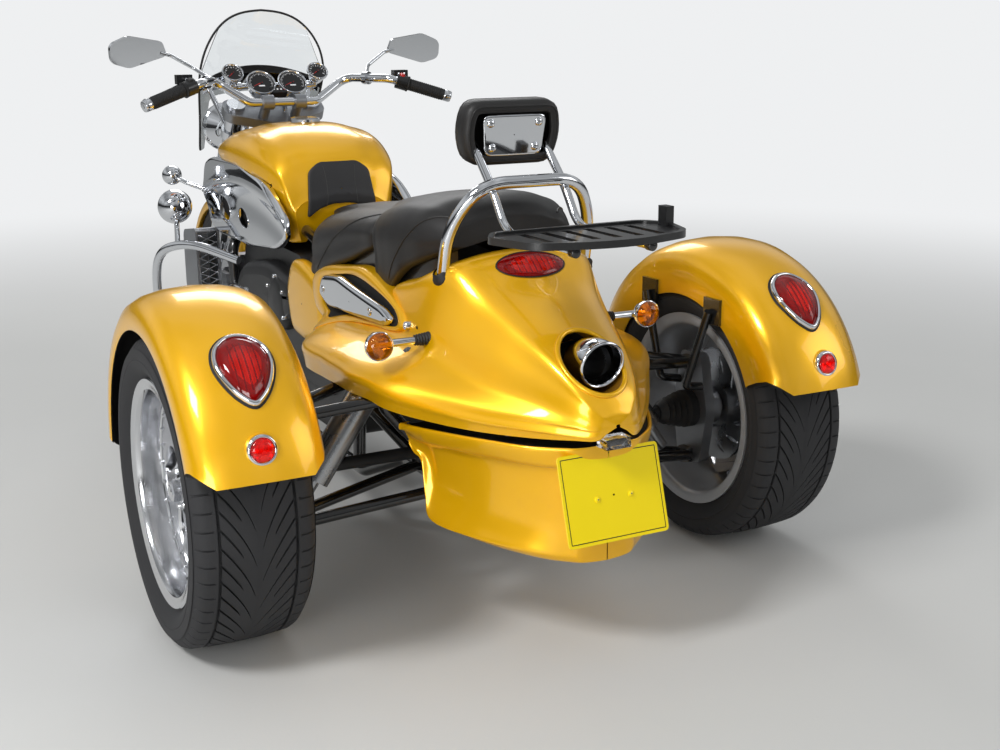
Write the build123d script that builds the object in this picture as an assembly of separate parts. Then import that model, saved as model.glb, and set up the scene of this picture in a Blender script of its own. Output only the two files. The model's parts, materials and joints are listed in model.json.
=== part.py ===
from build123d import *
import os
from math import cos, radians, sin

# Motorized trike: one steered wheel in front, two driven wheels behind under separate wings.
# Millimetres. +Z is up, the front of the vehicle points along -Y and +X is the rider's left.
# The origin lies on the ground, midway along the vehicle, on the centre plane.

# Driving dimensions
WHEELBASE = 1850
REAR_AXLE_Y = 820
REAR_TRACK = 1294
RAKE = 32
TRAIL = 152

# Clearances
FIT = 0.3
RUNNING_FIT = 0.5

# Rear wheels
REAR_TYRE_RADIUS = 322
REAR_TYRE_WIDTH = 242
RIM_BEAD_RADIUS = 216
RIM_WALL = 7
REAR_RIM_WIDTH = 213
REAR_RIM_LIP = 18
REAR_SPOKES = 5
REAR_SPOKE_DEPTH = 60
REAR_HUB_RADIUS = 62
REAR_HUB_DEPTH = 70
REAR_DISC_RADIUS = 140
STUB_RADIUS = 20

# Front wheel
FRONT_TYRE_RADIUS = 336
FRONT_TYRE_WIDTH = 150
FRONT_RIM_WIDTH = 104
FRONT_RIM_LIP = 13
FRONT_SPOKES = 5
FRONT_SPOKE_THICKNESS = 22
FRONT_HUB_RADIUS = 38
FRONT_AXLE_RADIUS = 12
FRONT_DISC_RADIUS = 155
FRONT_DISC_X = 69
DISC_THICKNESS = 5

# Fork and steering head, measured across, behind and along the steering axis
FORK_SPACING = 236
FORK_SLIDER_RADIUS = 22
FORK_TUBE_RADIUS = 28
SLIDER_TOP = 640
FORK_TOP = 1165
STEM_RADIUS = 15
HEAD_TUBE_RADIUS = 30
LOWER_YOKE = 885
UPPER_YOKE = 1125
YOKE_THICKNESS = 30
HEAD_PLAY = 2
STEER_CLEARANCE = 74

# Bars and tubes
BAR_RADIUS = 12.7
GRIP_RADIUS = 17
FRAME_TUBE_RADIUS = 16
GUARD_TUBE_RADIUS = 14
RAIL_TUBE_RADIUS = 13
STAY_RADIUS = 8

# Bodywork
SHELL_WALL = 5
WING_WALL = 5
WING_CROWN_RADIUS = 412
WING_WIDTH = 261
WING_INNER_X = 515
WING_REAR_ANGLE = 18
WING_FRONT_ANGLE = 182

# Places worked out from the driving dimensions
FRONT_AXLE_Y = REAR_AXLE_Y - WHEELBASE
REAR_WHEEL_X = REAR_TRACK / 2
AXIS_GROUND_Y = FRONT_AXLE_Y - TRAIL
FORK_OFFSET = FRONT_TYRE_RADIUS * sin(radians(RAKE)) - TRAIL * cos(radians(RAKE))
AXLE_ALONG = FRONT_TYRE_RADIUS * cos(radians(RAKE)) + TRAIL * sin(radians(RAKE))
FORK_X = FORK_SPACING / 2
# Local frame of the steering head: X to the left, Y to the rear across the axis, Z up the axis.
HEAD = Plane(
    origin=(0, AXIS_GROUND_Y, 0),
    x_dir=(1, 0, 0),
    z_dir=(0, sin(radians(RAKE)), cos(radians(RAKE))),
)

parts = {}


def keep(name, shape):
    """Adds solids to a node. Like pieces on one body share a node."""
    parts[name] = join(parts[name], shape) if name in parts else shape
    return shape


def rod(start, end, radius):
    start, end = Vector(*start), Vector(*end)
    plane = Plane(origin=start, z_dir=end - start)
    return plane * Cylinder(radius, (end - start).length, align=(Align.CENTER, Align.CENTER, Align.MIN))


def tube(points, radius, bend):
    path = FilletPolyline(*points, radius=bend)
    start = Plane(origin=path @ 0, z_dir=path % 0)
    return sweep(start * Circle(radius), path=path)


def block(x, y, z):
    """A box from three pairs of limits."""
    size = (x[1] - x[0], y[1] - y[0], z[1] - z[0])
    centre = ((x[0] + x[1]) / 2, (y[0] + y[1]) / 2, (z[0] + z[1]) / 2)
    return Pos(*centre) * Box(*size)


def flip(shape):
    return mirror(shape, about=Plane.YZ)


def join(*shapes):
    return Compound(children=[solid for shape in shapes for solid in shape.solids()])


def both_sides(shape):
    return join(shape, flip(shape))


def biggest(shape):
    return max(shape.solids(), key=lambda solid: solid.volume)


def outline_face(points, radii):
    return make_face(FilletPolyline(*points, radius=radii, close=True))


def wheel_turn(face, x, y, z):
    """A ring turned about a wheel's axle from an (across, radius) face."""
    return Pos(x, y, z) * revolve(face, axis=Axis.X)


def loft_sections(table, outline, ruled=False):
    """A loft across the rows of a table. Each row starts with its y place."""
    faces = []
    for row in table:
        points, radii = outline(*row[1:])
        faces.append(Plane.XZ.offset(-row[0]) * outline_face(points, radii))
    return loft(faces, ruled=ruled)


def steer_point(x, back, along):
    """A point given by its place across, behind and along the steering axis."""
    place = HEAD.from_local_coords(Vector(x, back, along))
    return (place.X, place.Y, place.Z)


def tyre(radius, width, rim_width, lip, x, y):
    bead = RIM_BEAD_RADIUS + FIT
    over_lip = RIM_BEAD_RADIUS + lip + 3
    half_bead = rim_width / 2 - RIM_WALL - FIT
    half = width / 2
    height = radius - bead
    shoulder = (0.80 * half, radius - 0.04 * height)
    points = [
        (-half_bead, bead),
        (-half_bead, over_lip),
        (-half, over_lip + 0.16 * height),
        (-half, bead + 0.65 * height),
        (-shoulder[0], shoulder[1]),
        (0, radius),
        shoulder,
        (half, bead + 0.65 * height),
        (half, over_lip + 0.16 * height),
        (half_bead, over_lip),
        (half_bead, bead),
    ]
    bend = 0.13 * height
    radii = [0, 0, bend, bend, bend, 0, bend, bend, bend, 0, 0]
    return wheel_turn(outline_face(points, radii), x, y, radius)


def spoke(inner, outer, root_width, tip_width, x_range):
    outline = [
        (-root_width / 2, inner),
        (-tip_width / 2, outer),
        (tip_width / 2, outer),
        (root_width / 2, inner),
    ]
    return extrude(Plane.YZ.offset(x_range[0]) * make_face(Polyline(*outline, close=True)),
        x_range[1] - x_range[0])


def rim(width, lip, hub_radius, hub_range, spokes, spoke_range, bore):
    """Barrel, spokes and hub of one wheel about the origin, its face looking along +X."""
    half = width / 2
    bead = RIM_BEAD_RADIUS
    barrel = [
        (-half, bead - RIM_WALL),
        (-half, bead + lip),
        (-half + RIM_WALL, bead + lip),
        (-half + RIM_WALL, bead),
        (half - RIM_WALL, bead),
        (half - RIM_WALL, bead + lip),
        (half, bead + lip),
        (half, bead - RIM_WALL),
    ]
    soft = 0.4 * RIM_WALL
    ring = revolve(outline_face(barrel, [0, soft, soft, 0, 0, soft, soft, 0]), axis=Axis.X)
    hub_middle = (hub_range[0] + hub_range[1]) / 2
    hub = Pos(hub_middle, 0, 0) * Rot(0, 90, 0) * Cylinder(hub_radius, hub_range[1] - hub_range[0])
    arm = spoke(hub_radius - 6, bead - RIM_WALL / 2, 60, 100, spoke_range)
    window = spoke(hub_radius + 40, bead - 3 * RIM_WALL, 10, 34, (spoke_range[0] - 5, spoke_range[1] + 5))
    arm -= window
    arm &= Rot(0, 90, 0) * Cylinder(bead - RIM_WALL / 2, 4 * width)
    wheel = ring + hub
    for count in range(spokes):
        wheel += Rot(360 / spokes * count, 0, 0) * arm
    wheel -= Rot(0, 90, 0) * Cylinder(bore, 3 * width)
    return biggest(wheel)


def brake_disc(radius, hole):
    """A drilled disc about the origin, its axis along X."""
    plate = Cylinder(radius, DISC_THICKNESS) - Cylinder(hole, 2 * DISC_THICKNESS)
    window = Pos(0.55 * radius, 0, 0) * Box(0.28 * radius, 0.34 * radius, 2 * DISC_THICKNESS)
    for count in range(6):
        plate -= Rot(0, 0, 60 * count) * window
    return Rot(0, 90, 0) * plate


# Rear wheels
rear_spoke_range = (REAR_RIM_WIDTH / 2 - REAR_SPOKE_DEPTH - 24, REAR_RIM_WIDTH / 2 - REAR_SPOKE_DEPTH)
rear_hub_range = (rear_spoke_range[1] + RIM_WALL - REAR_HUB_DEPTH, rear_spoke_range[1] + RIM_WALL)
rear_disc_place = rear_hub_range[0] - DISC_THICKNESS / 2 - FIT
stub_bore = STUB_RADIUS + RUNNING_FIT
rear_rim = rim(
    REAR_RIM_WIDTH, REAR_RIM_LIP, REAR_HUB_RADIUS, rear_hub_range, REAR_SPOKES, rear_spoke_range, stub_bore
)
rear_disc = Pos(rear_disc_place, 0, 0) * brake_disc(REAR_DISC_RADIUS, stub_bore)
rear_axle = Pos(REAR_WHEEL_X, REAR_AXLE_Y, REAR_TYRE_RADIUS)
for name, side in (("left", lambda shape: shape), ("right", flip)):
    keep(f"rear_tyre_{name}", side(tyre(REAR_TYRE_RADIUS, REAR_TYRE_WIDTH, REAR_RIM_WIDTH, REAR_RIM_LIP,
        REAR_WHEEL_X, REAR_AXLE_Y)))
    keep(f"rear_rim_{name}", side(rear_axle * rear_rim))
    keep(f"rear_rim_{name}", side(rear_axle * rear_disc))

# Front wheel
front_hub_half = FRONT_DISC_X - DISC_THICKNESS / 2 - FIT
front_spoke_range = (-FRONT_SPOKE_THICKNESS / 2, FRONT_SPOKE_THICKNESS / 2)
front_bore = FRONT_AXLE_RADIUS + RUNNING_FIT
front_rim = rim(
    FRONT_RIM_WIDTH, FRONT_RIM_LIP, FRONT_HUB_RADIUS, (-front_hub_half, front_hub_half), FRONT_SPOKES,
    front_spoke_range, front_bore
)
front_axle_place = Pos(0, FRONT_AXLE_Y, FRONT_TYRE_RADIUS)
keep("front_tyre", tyre(FRONT_TYRE_RADIUS, FRONT_TYRE_WIDTH, FRONT_RIM_WIDTH, FRONT_RIM_LIP, 0, FRONT_AXLE_Y))
keep("front_rim", front_axle_place * front_rim)
keep("front_discs", both_sides(front_axle_place * Pos(FRONT_DISC_X, 0, 0) * brake_disc(FRONT_DISC_RADIUS,
    front_bore)))

# Fork legs run parallel to the steering axis, ahead of it by the fork offset
leg_profile = [
    (0, AXLE_ALONG),
    (FORK_SLIDER_RADIUS, AXLE_ALONG),
    (FORK_SLIDER_RADIUS, SLIDER_TOP),
    (FORK_TUBE_RADIUS, SLIDER_TOP),
    (FORK_TUBE_RADIUS, FORK_TOP),
    (0, FORK_TOP),
]
leg_face = Plane.XZ * make_face(Polyline(*leg_profile, close=True))
fork_leg = HEAD * Pos(FORK_X, -FORK_OFFSET, 0) * revolve(leg_face, axis=Axis.Z)
axle_lug = Pos(FORK_X, FRONT_AXLE_Y, FRONT_TYRE_RADIUS) * Rot(0, 90, 0) * Cylinder(30, 50)
axle_hole = front_axle_place * Rot(0, 90, 0) * Cylinder(FRONT_AXLE_RADIUS + FIT / 2, 2 * FORK_SPACING)
keep("fork_legs", both_sides(biggest(fork_leg + axle_lug - axle_hole)))
axle_length = FORK_SPACING + 60
keep("front_axle", front_axle_place * Rot(0, 90, 0) * Cylinder(FRONT_AXLE_RADIUS, axle_length))


def yoke(along, hole_radius):
    outline = [
        (-FORK_X - 40, -FORK_OFFSET - 38),
        (FORK_X + 40, -FORK_OFFSET - 38),
        (FORK_X + 40, -FORK_OFFSET + 38),
        (28, 38),
        (-28, 38),
        (-FORK_X - 40, -FORK_OFFSET + 38),
    ]
    plate = HEAD * Pos(0, 0, along) * extrude(outline_face(outline, [34, 34, 34, 20, 20, 34]), YOKE_THICKNESS)
    for x in (FORK_X, -FORK_X):
        plate -= HEAD * Pos(x, -FORK_OFFSET, along) * Cylinder(hole_radius, 4 * YOKE_THICKNESS)
    return plate


stem = rod(steer_point(0, 0, LOWER_YOKE), steer_point(0, 0, UPPER_YOKE + YOKE_THICKNESS), STEM_RADIUS)
yokes = yoke(LOWER_YOKE, FORK_TUBE_RADIUS + FIT / 2) + yoke(UPPER_YOKE, FORK_TUBE_RADIUS + FIT / 2) + stem
# Handlebar risers stand on the upper yoke
BAR_CLAMP = (50, -514, 1020)
riser_foot = steer_point(50, 8, UPPER_YOKE + YOKE_THICKNESS - 5)
for x in (1, -1):
    yokes += rod((x * riser_foot[0], riser_foot[1], riser_foot[2]),
        (x * BAR_CLAMP[0], BAR_CLAMP[1], BAR_CLAMP[2]), 15)
    yokes += Pos(x * BAR_CLAMP[0], BAR_CLAMP[1], BAR_CLAMP[2]) * Rot(0, 90, 0) * Cylinder(22, 34)
bar_hole = Pos(0, BAR_CLAMP[1], BAR_CLAMP[2]) * Rot(0, 90, 0) * Cylinder(BAR_RADIUS + FIT / 2, 160)
keep("fork_yokes", biggest(yokes - bar_hole))

# Handlebar, grips and controls. Half of the route, from the middle out.
BAR_BEND = (206, -532, 1086)
GRIP_INNER = (285, -374, 1086)
BAR_END = (449, -325, 1033)
bar_route = [
    (-BAR_END[0], BAR_END[1], BAR_END[2]),
    (-GRIP_INNER[0], GRIP_INNER[1], GRIP_INNER[2]),
    (-BAR_BEND[0], BAR_BEND[1], BAR_BEND[2]),
    (-BAR_CLAMP[0] - 55, BAR_CLAMP[1], BAR_CLAMP[2]),
    (BAR_CLAMP[0] + 55, BAR_CLAMP[1], BAR_CLAMP[2]),
    BAR_BEND,
    GRIP_INNER,
    BAR_END,
]
BAR_STRAIGHT = 70
bar_middle = rod((-BAR_STRAIGHT, *BAR_CLAMP[1:]), (BAR_STRAIGHT, *BAR_CLAMP[1:]), BAR_RADIUS)
bar_gap = Pos(0, *BAR_CLAMP[1:]) * Box(2 * BAR_STRAIGHT, 4 * BAR_RADIUS, 4 * BAR_RADIUS)
keep("handlebar", biggest((tube(bar_route, BAR_RADIUS, 45) - bar_gap) + bar_middle))
grip_direction = (Vector(*BAR_END) - Vector(*GRIP_INNER)).normalized()


def along_grip(distance):
    """A point on the left grip's centre line, measured in from the bar's end."""
    place = Vector(*BAR_END) - grip_direction * distance
    return (place.X, place.Y, place.Z)


grip = rod(along_grip(8), along_grip(122), GRIP_RADIUS) - rod(along_grip(-10), along_grip(140),
    BAR_RADIUS + FIT / 2)
keep("grips", both_sides(grip))
bar_cap = rod(along_grip(7), along_grip(-14), GRIP_RADIUS - 1) - rod(along_grip(0), along_grip(30),
    BAR_RADIUS + FIT / 2)
keep("handlebar", both_sides(bar_cap))

bar_void = tube(bar_route, BAR_RADIUS + FIT / 2, 45)
switch_x, switch_y, switch_z = along_grip(140)
switch_box = rod(along_grip(124), along_grip(156), 22)
switch_box += Pos(switch_x + 8, switch_y - 32, switch_z + 22) * Box(44, 26, 26)
switch_box += rod((switch_x, switch_y, switch_z), (switch_x - 4, switch_y - 34, switch_z + 14), 9)
switch_box = biggest(switch_box - rod(along_grip(100), along_grip(175), BAR_RADIUS + FIT / 2))
keep("hand_controls", both_sides(switch_box))
knee_x, knee_y, knee_z = along_grip(108)
tip_x, tip_y, tip_z = along_grip(8)
lever_tip = (tip_x, tip_y - 58, tip_z + 4)
lever = tube([(switch_x - 4, switch_y - 40, switch_z + 16), (knee_x, knee_y - 60, knee_z + 8), lever_tip],
    5, 20)
lever += Pos(*lever_tip) * Sphere(8)
keep("hand_controls", both_sides(biggest(lever - switch_box)))

# Mirrors
MIRROR_FOOT = (245, -453, 1100)
MIRROR_NECK = (330, -515, 1160)
MIRROR_CENTRE = (423, -500, 1172)
MIRROR_DEPTH = 22
mirror_stem = tube([MIRROR_FOOT, (268, -496, 1122), MIRROR_NECK, (360, -512, 1168)], 5.5, 18)
mirror_outline = [(-84, -14), (30, -46), (82, -30), (84, 22), (30, 44), (-70, 26)]
mirror_back = extrude(Plane.XZ * outline_face(mirror_outline, [14, 40, 24, 24, 40, 14]), MIRROR_DEPTH)
mirror_back = fillet(mirror_back.faces().sort_by(Axis.Y)[0].edges(), 9)
mirror_head = Pos(*MIRROR_CENTRE) * Rot(-6, 0, 8) * mirror_back
mirror_clamp = rod((241, -461, 1086), (249, -445, 1086), 19)
keep("mirrors", both_sides(biggest(mirror_stem + mirror_head + mirror_clamp - bar_void)))

# Gauges: two large dials between two small ones, tilted back towards the rider
# Columns: place across, place along, height, bezel radius, depth of the cup
GAUGES = [(49, -566, 1077, 45, 52), (133, -572, 1108, 33, 44)]
GAUGE_TILT = 42
gauge_cups = []
for x, y, z, radius, depth in GAUGES:
    cup = Pos(x, y, z) * Rot(-GAUGE_TILT, 0, 0) * (
        Pos(0, 0, -depth / 2) * Cylinder(radius - 3, depth) + Pos(0, 0, -5) * Cylinder(radius, 10)
        - Pos(0, 0, 0) * Cylinder(radius - 6, 8)
    )
    gauge_cups.append(cup)
gauge_bar = rod((-133, -600, 1065), (133, -600, 1065), 9)
for x in (28, -28):
    gauge_bar += rod((x, -600, 1065), (x, -582, 950), 8)
for cup in gauge_cups:
    gauge_bar = gauge_bar + cup + flip(cup)
keep("gauges", biggest(gauge_bar - parts["fork_yokes"]))

# Headlamps: twin round shells ahead of the fork, joined by a bar to the yokes
HEADLAMP_X = 84
HEADLAMP_Y = -800
HEADLAMP_Z = 930
HEADLAMP_RADIUS = 76
HEADLAMP_DEPTH = 105
lamp_profile = [
    (0, 0),
    (HEADLAMP_RADIUS, 0),
    (HEADLAMP_RADIUS, 16),
    (HEADLAMP_RADIUS - 8, 22),
    (0.55 * HEADLAMP_RADIUS, HEADLAMP_DEPTH),
    (0, HEADLAMP_DEPTH),
]
lamp_shell = revolve(Plane.XZ * outline_face(lamp_profile, [0, 3, 3, 6, 30, 0]), axis=Axis.Z)
lamp_shell -= Cylinder(HEADLAMP_RADIUS - 6, 40, align=(Align.CENTER, Align.CENTER, Align.CENTER))
lamp_place = Pos(HEADLAMP_X, HEADLAMP_Y - 60, HEADLAMP_Z) * Rot(-90, 0, 0)
headlamp_shells = keep("front_lamp_shells", both_sides(lamp_place * lamp_shell))
lamp_lens = Pos(0, 0, 6) * Cylinder(HEADLAMP_RADIUS - 6 - FIT, 12)
keep("headlamp_lenses", both_sides(lamp_place * lamp_lens))

# Lamp bar: one cross tube ahead of the fork that carries the headlamps, the indicators and the screen
LAMP_BAR_ALONG = 985
LAMP_BAR_AHEAD = -FORK_OFFSET - FORK_TUBE_RADIUS - 12
lamp_bar_end = steer_point(FORK_X + 6, LAMP_BAR_AHEAD, LAMP_BAR_ALONG)
lamp_bar = rod((-lamp_bar_end[0], lamp_bar_end[1], lamp_bar_end[2]), lamp_bar_end, 11)
fork_clamp = HEAD * Pos(FORK_X, -FORK_OFFSET, LAMP_BAR_ALONG) * (
    Cylinder(FORK_TUBE_RADIUS + 8, 34) - Cylinder(FORK_TUBE_RADIUS + FIT / 2, 60)
)
for x in (HEADLAMP_X, -HEADLAMP_X):
    lamp_bar += rod((x, lamp_bar_end[1], lamp_bar_end[2]), (x, HEADLAMP_Y + 48, HEADLAMP_Z), 12)
INDICATOR_CENTRE = (280, -794, 792)
INDICATOR_RADIUS = 30
lamp_bar = lamp_bar + fork_clamp + flip(fork_clamp)
fork_void = rod(steer_point(FORK_X, -FORK_OFFSET, SLIDER_TOP),
    steer_point(FORK_X, -FORK_OFFSET, FORK_TOP + 50),
                FORK_TUBE_RADIUS + FIT / 2)
lamp_bar -= headlamp_shells
lamp_bar -= fork_void + flip(fork_void)
keep("front_brackets", biggest(lamp_bar))


def lamp_bowl(radius, depth):
    """A turned bowl whose rim lies at the origin and whose back points along +Z."""
    profile = [(0, 0), (radius, 0), (radius, 0.3 * depth), (0.55 * radius, depth), (0, depth)]
    return revolve(Plane.XZ * outline_face(profile, [0, 1.5, 0.45 * radius, 0.35 * radius, 0]), axis=Axis.Z)


# Both point forward; the rear ones are turned round
indicator_bowl = Rot(-90, 0, 0) * lamp_bowl(INDICATOR_RADIUS, 1.1 * INDICATOR_RADIUS)
indicator_lens = Pos(0, -FIT, 0) * Rot(90, 0, 0) * lamp_bowl(INDICATOR_RADIUS - 2, 0.6 * INDICATOR_RADIUS)
indicator_place = Pos(*INDICATOR_CENTRE)
keep("front_indicator_lenses", both_sides(indicator_place * indicator_lens))

# Windscreen: a bent sheet cut to its outline, clear of the twin headlamps
SCREEN_TOP = (0, -691, 1286)
SCREEN_LEAN = 24
SCREEN_HALF_WIDTH = 200
SCREEN_BEND = 330
SCREEN_THICKNESS = 4
SCREEN_HEIGHT = 440
screen_plane = Plane(origin=SCREEN_TOP, x_dir=(1, 0, 0),
    z_dir=(0, -cos(radians(SCREEN_LEAN)), sin(radians(SCREEN_LEAN))))
# In this plane Y points down along the sheet
screen_outline = [
    (-0.90 * SCREEN_HALF_WIDTH, SCREEN_HEIGHT),
    (-SCREEN_HALF_WIDTH, 0.42 * SCREEN_HEIGHT),
    (-0.62 * SCREEN_HALF_WIDTH, 0.02 * SCREEN_HEIGHT),
    (0, -0.01 * SCREEN_HEIGHT),
    (0.62 * SCREEN_HALF_WIDTH, 0.02 * SCREEN_HEIGHT),
    (SCREEN_HALF_WIDTH, 0.42 * SCREEN_HEIGHT),
    (0.90 * SCREEN_HALF_WIDTH, SCREEN_HEIGHT),
    (HEADLAMP_X + HEADLAMP_RADIUS + 4, SCREEN_HEIGHT),
    (HEADLAMP_X + HEADLAMP_RADIUS - 4, 0.60 * SCREEN_HEIGHT),
    (-HEADLAMP_X - HEADLAMP_RADIUS + 4, 0.60 * SCREEN_HEIGHT),
    (-HEADLAMP_X - HEADLAMP_RADIUS - 4, SCREEN_HEIGHT),
]
screen_radii = [6, 120, 90, 300, 90, 120, 6, 6, 20, 20, 6]
y_sign = -1 if screen_plane.y_dir.Z > 0 else 1
screen_face = outline_face([(x, y_sign * y) for x, y in screen_outline], screen_radii)
screen_block = screen_plane * extrude(screen_face, 260, both=True)
bend_centre = screen_plane * Pos(0, 0, -SCREEN_BEND) * Rot(90, 0, 0)
screen_skin = bend_centre * (
    Cylinder(SCREEN_BEND, 3 * SCREEN_HEIGHT) - Cylinder(SCREEN_BEND - SCREEN_THICKNESS, 4 * SCREEN_HEIGHT)
)
windscreen = biggest((screen_block & screen_skin) & block((-400, 400), (-1200, -560), (700, 1400)))
keep("windscreen", windscreen)

# Screen mount: black arms from the fork tubes to both edges of the sheet, and a band behind the dials
mount_clamp = HEAD * Pos(FORK_X, -FORK_OFFSET, 1060) * (
    Cylinder(FORK_TUBE_RADIUS + 7, 26) - Cylinder(FORK_TUBE_RADIUS + FIT / 2, 60)
)
mount_start = steer_point(FORK_X + 10, -FORK_OFFSET - FORK_TUBE_RADIUS - 2, 1060)
screen_void = bend_centre * (
    Cylinder(SCREEN_BEND + 400, 3 * SCREEN_HEIGHT) - Cylinder(SCREEN_BEND - SCREEN_THICKNESS - FIT,
        4 * SCREEN_HEIGHT)
)
mount_arm = rod(mount_start, (168, -745, 1075), 8) - screen_void
band = bend_centre * (
    Cylinder(SCREEN_BEND - SCREEN_THICKNESS - FIT, 3 * SCREEN_HEIGHT)
    - Cylinder(SCREEN_BEND - SCREEN_THICKNESS - FIT - 5, 4 * SCREEN_HEIGHT)
)
band = biggest(band & (screen_plane * Pos(0, y_sign * 0.50 * SCREEN_HEIGHT, 0) * Box(372, 40,
    300)) & block((-400, 400), (-1200, -560), (700, 1400)))
screen_mount = band + (mount_clamp + mount_arm - fork_void) + flip(mount_clamp + mount_arm - fork_void)
keep("front_brackets", screen_mount)

# Front mudguard, concentric with the tyre, with a stay to each slider
GUARD_RADIUS = 358
GUARD_HALF_WIDTH = 86
GUARD_WALL = 4
guard_outline = [
    (-GUARD_HALF_WIDTH, GUARD_RADIUS - 46),
    (-GUARD_HALF_WIDTH, GUARD_RADIUS - 8),
    (0, GUARD_RADIUS + 6),
    (GUARD_HALF_WIDTH, GUARD_RADIUS - 8),
    (GUARD_HALF_WIDTH, GUARD_RADIUS - 46),
    (GUARD_HALF_WIDTH - GUARD_WALL, GUARD_RADIUS - 46),
    (GUARD_HALF_WIDTH - GUARD_WALL, GUARD_RADIUS - 11),
    (0, GUARD_RADIUS + 6 - GUARD_WALL),
    (-GUARD_HALF_WIDTH + GUARD_WALL, GUARD_RADIUS - 11),
    (-GUARD_HALF_WIDTH + GUARD_WALL, GUARD_RADIUS - 46),
]
guard_face = outline_face(guard_outline, [0, 30, 200, 30, 0, 0, 26, 190, 26, 0])
GUARD_FRONT = 66
GUARD_REAR = 98
# Both angles are measured from straight up; the turn runs from the back, over the top, to the front
guard_arc = revolve(Plane.XZ * guard_face, axis=Axis.X, revolution_arc=GUARD_FRONT + GUARD_REAR)
mudguard = front_axle_place * Rot(-GUARD_REAR, 0, 0) * guard_arc
slider_void = rod(
    steer_point(FORK_X, -FORK_OFFSET, 300), steer_point(FORK_X, -FORK_OFFSET,
        SLIDER_TOP), FORK_SLIDER_RADIUS + FIT / 2
)
guard_stay_foot = steer_point(FORK_X, -FORK_OFFSET, 690)
guard_stay = Pos(GUARD_HALF_WIDTH + 4, guard_stay_foot[1], guard_stay_foot[2]) * Box(10, 60, 40) - fork_void
keep("front_mudguard", biggest(mudguard + guard_stay + flip(guard_stay)))

# Brake calipers on the sliders, a slot in each for the disc
caliper_place = Pos(FRONT_DISC_X, FRONT_AXLE_Y, FRONT_TYRE_RADIUS) * Rot(-60, 0, 0)
caliper = caliper_place * (Pos(4, 0, FRONT_DISC_RADIUS - 18) * Box(46, 110, 62))
caliper -= caliper_place * Rot(0, 90, 0) * Cylinder(FRONT_DISC_RADIUS + 5, DISC_THICKNESS + 6)
caliper -= slider_void
keep("front_calipers", both_sides(biggest(caliper)))

# Frame: head tube, twin spine tubes, cradle tubes, seat rails and the rear subframe
SPINE_X = 105
RAIL_X = 140
CRADLE_X = 172
CRADLE_Z = 178
SUBFRAME_Z = 250
SUBFRAME_END = 1240
head_middle = LOWER_YOKE + YOKE_THICKNESS + HEAD_PLAY
head_tube = rod(steer_point(0, 0, head_middle), steer_point(0, 0, UPPER_YOKE - HEAD_PLAY), HEAD_TUBE_RADIUS)
head_bore = rod(steer_point(0, 0, LOWER_YOKE), steer_point(0, 0, UPPER_YOKE + 60), STEM_RADIUS + RUNNING_FIT)
spine_start = steer_point(16, 16, head_middle + 80)
cradle_start = steer_point(16, 20, head_middle + 50)
spine = tube([spine_start, (SPINE_X, -400, 765), (SPINE_X, 60, 672), (RAIL_X, 300, 570),
    (RAIL_X, 1130, 560)], FRAME_TUBE_RADIUS, 60)
cradle = tube(
    [cradle_start, (CRADLE_X, -545, 590), (CRADLE_X, -545, CRADLE_Z), (CRADLE_X, 480, CRADLE_Z),
        (130, 640, SUBFRAME_Z), (110, SUBFRAME_END, SUBFRAME_Z)],
    FRAME_TUBE_RADIUS, 60,
)
upright_tube = rod((CRADLE_X - 6, 430, CRADLE_Z), (RAIL_X, 400, 566), FRAME_TUBE_RADIUS)
tail_tube = rod((RAIL_X, 1110, 560), (112, 1210, SUBFRAME_Z), FRAME_TUBE_RADIUS - 2)
frame = spine + cradle + upright_tube + tail_tube
frame = frame + flip(frame)
frame += head_tube
for y, z, half in ((470, 566, RAIL_X), (700, 566, RAIL_X), (1110, 560, RAIL_X), (1225, SUBFRAME_Z, 108),
    (645, SUBFRAME_Z, 128), (950, SUBFRAME_Z, 118)):
    frame += rod((-half, y, z), (half, y, z), FRAME_TUBE_RADIUS - 3)
# Outriggers that carry the wishbones and the wings
OUTRIGGER_X = 300
outriggers = []
for y in (730, 910):
    outriggers.append(tube([(RAIL_X - 6, y, 562), (250, y, 540), (OUTRIGGER_X, y, 470),
        (120, y, SUBFRAME_Z)], FRAME_TUBE_RADIUS - 2, 22))
for arm in outriggers:
    frame += arm + flip(arm)
frame -= head_bore
frame = biggest(frame)
keep("frame_tubes", frame)

# Engine: one block for the mass, with its covers seated on both sides
ENGINE_HALF = 148
ENGINE_FRONT = -520
ENGINE_REAR = 330
engine_side = [
    (ENGINE_FRONT + 30, 205), (ENGINE_REAR - 40, 205), (ENGINE_REAR, 300), (ENGINE_REAR - 60, 500),
    (30, 540), (10, 640), (-470, 650), (ENGINE_FRONT, 520),
]
engine = extrude(Plane.YZ * outline_face(engine_side, [40, 30, 30, 30, 20, 30, 40, 60]), ENGINE_HALF,
    both=True)
engine -= parts["frame_tubes"]
keep("engine_block", biggest(engine))


def cover(y, z, radius, x_from, thickness, soft):
    """A round cover turned about an axis across the vehicle."""
    profile = [(0, 0), (radius, 0), (radius, 0.55 * thickness), (0.72 * radius, thickness), (0, thickness)]
    turned = revolve(Plane.XZ * outline_face(profile, [0, 0, soft, soft, 0]), axis=Axis.Z)
    return Pos(x_from, y, z) * Rot(0, 90, 0) * turned


def side_slab(outline, radii, x_from, x_to, soft):
    """A plate standing along the vehicle, its outer edge rounded."""
    plate = extrude(Plane.YZ.offset(x_from) * outline_face(outline, radii), x_to - x_from)
    if soft:
        plate = fillet(plate.faces().sort_by(Axis.X)[-1].edges(), soft)
    return plate


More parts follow.
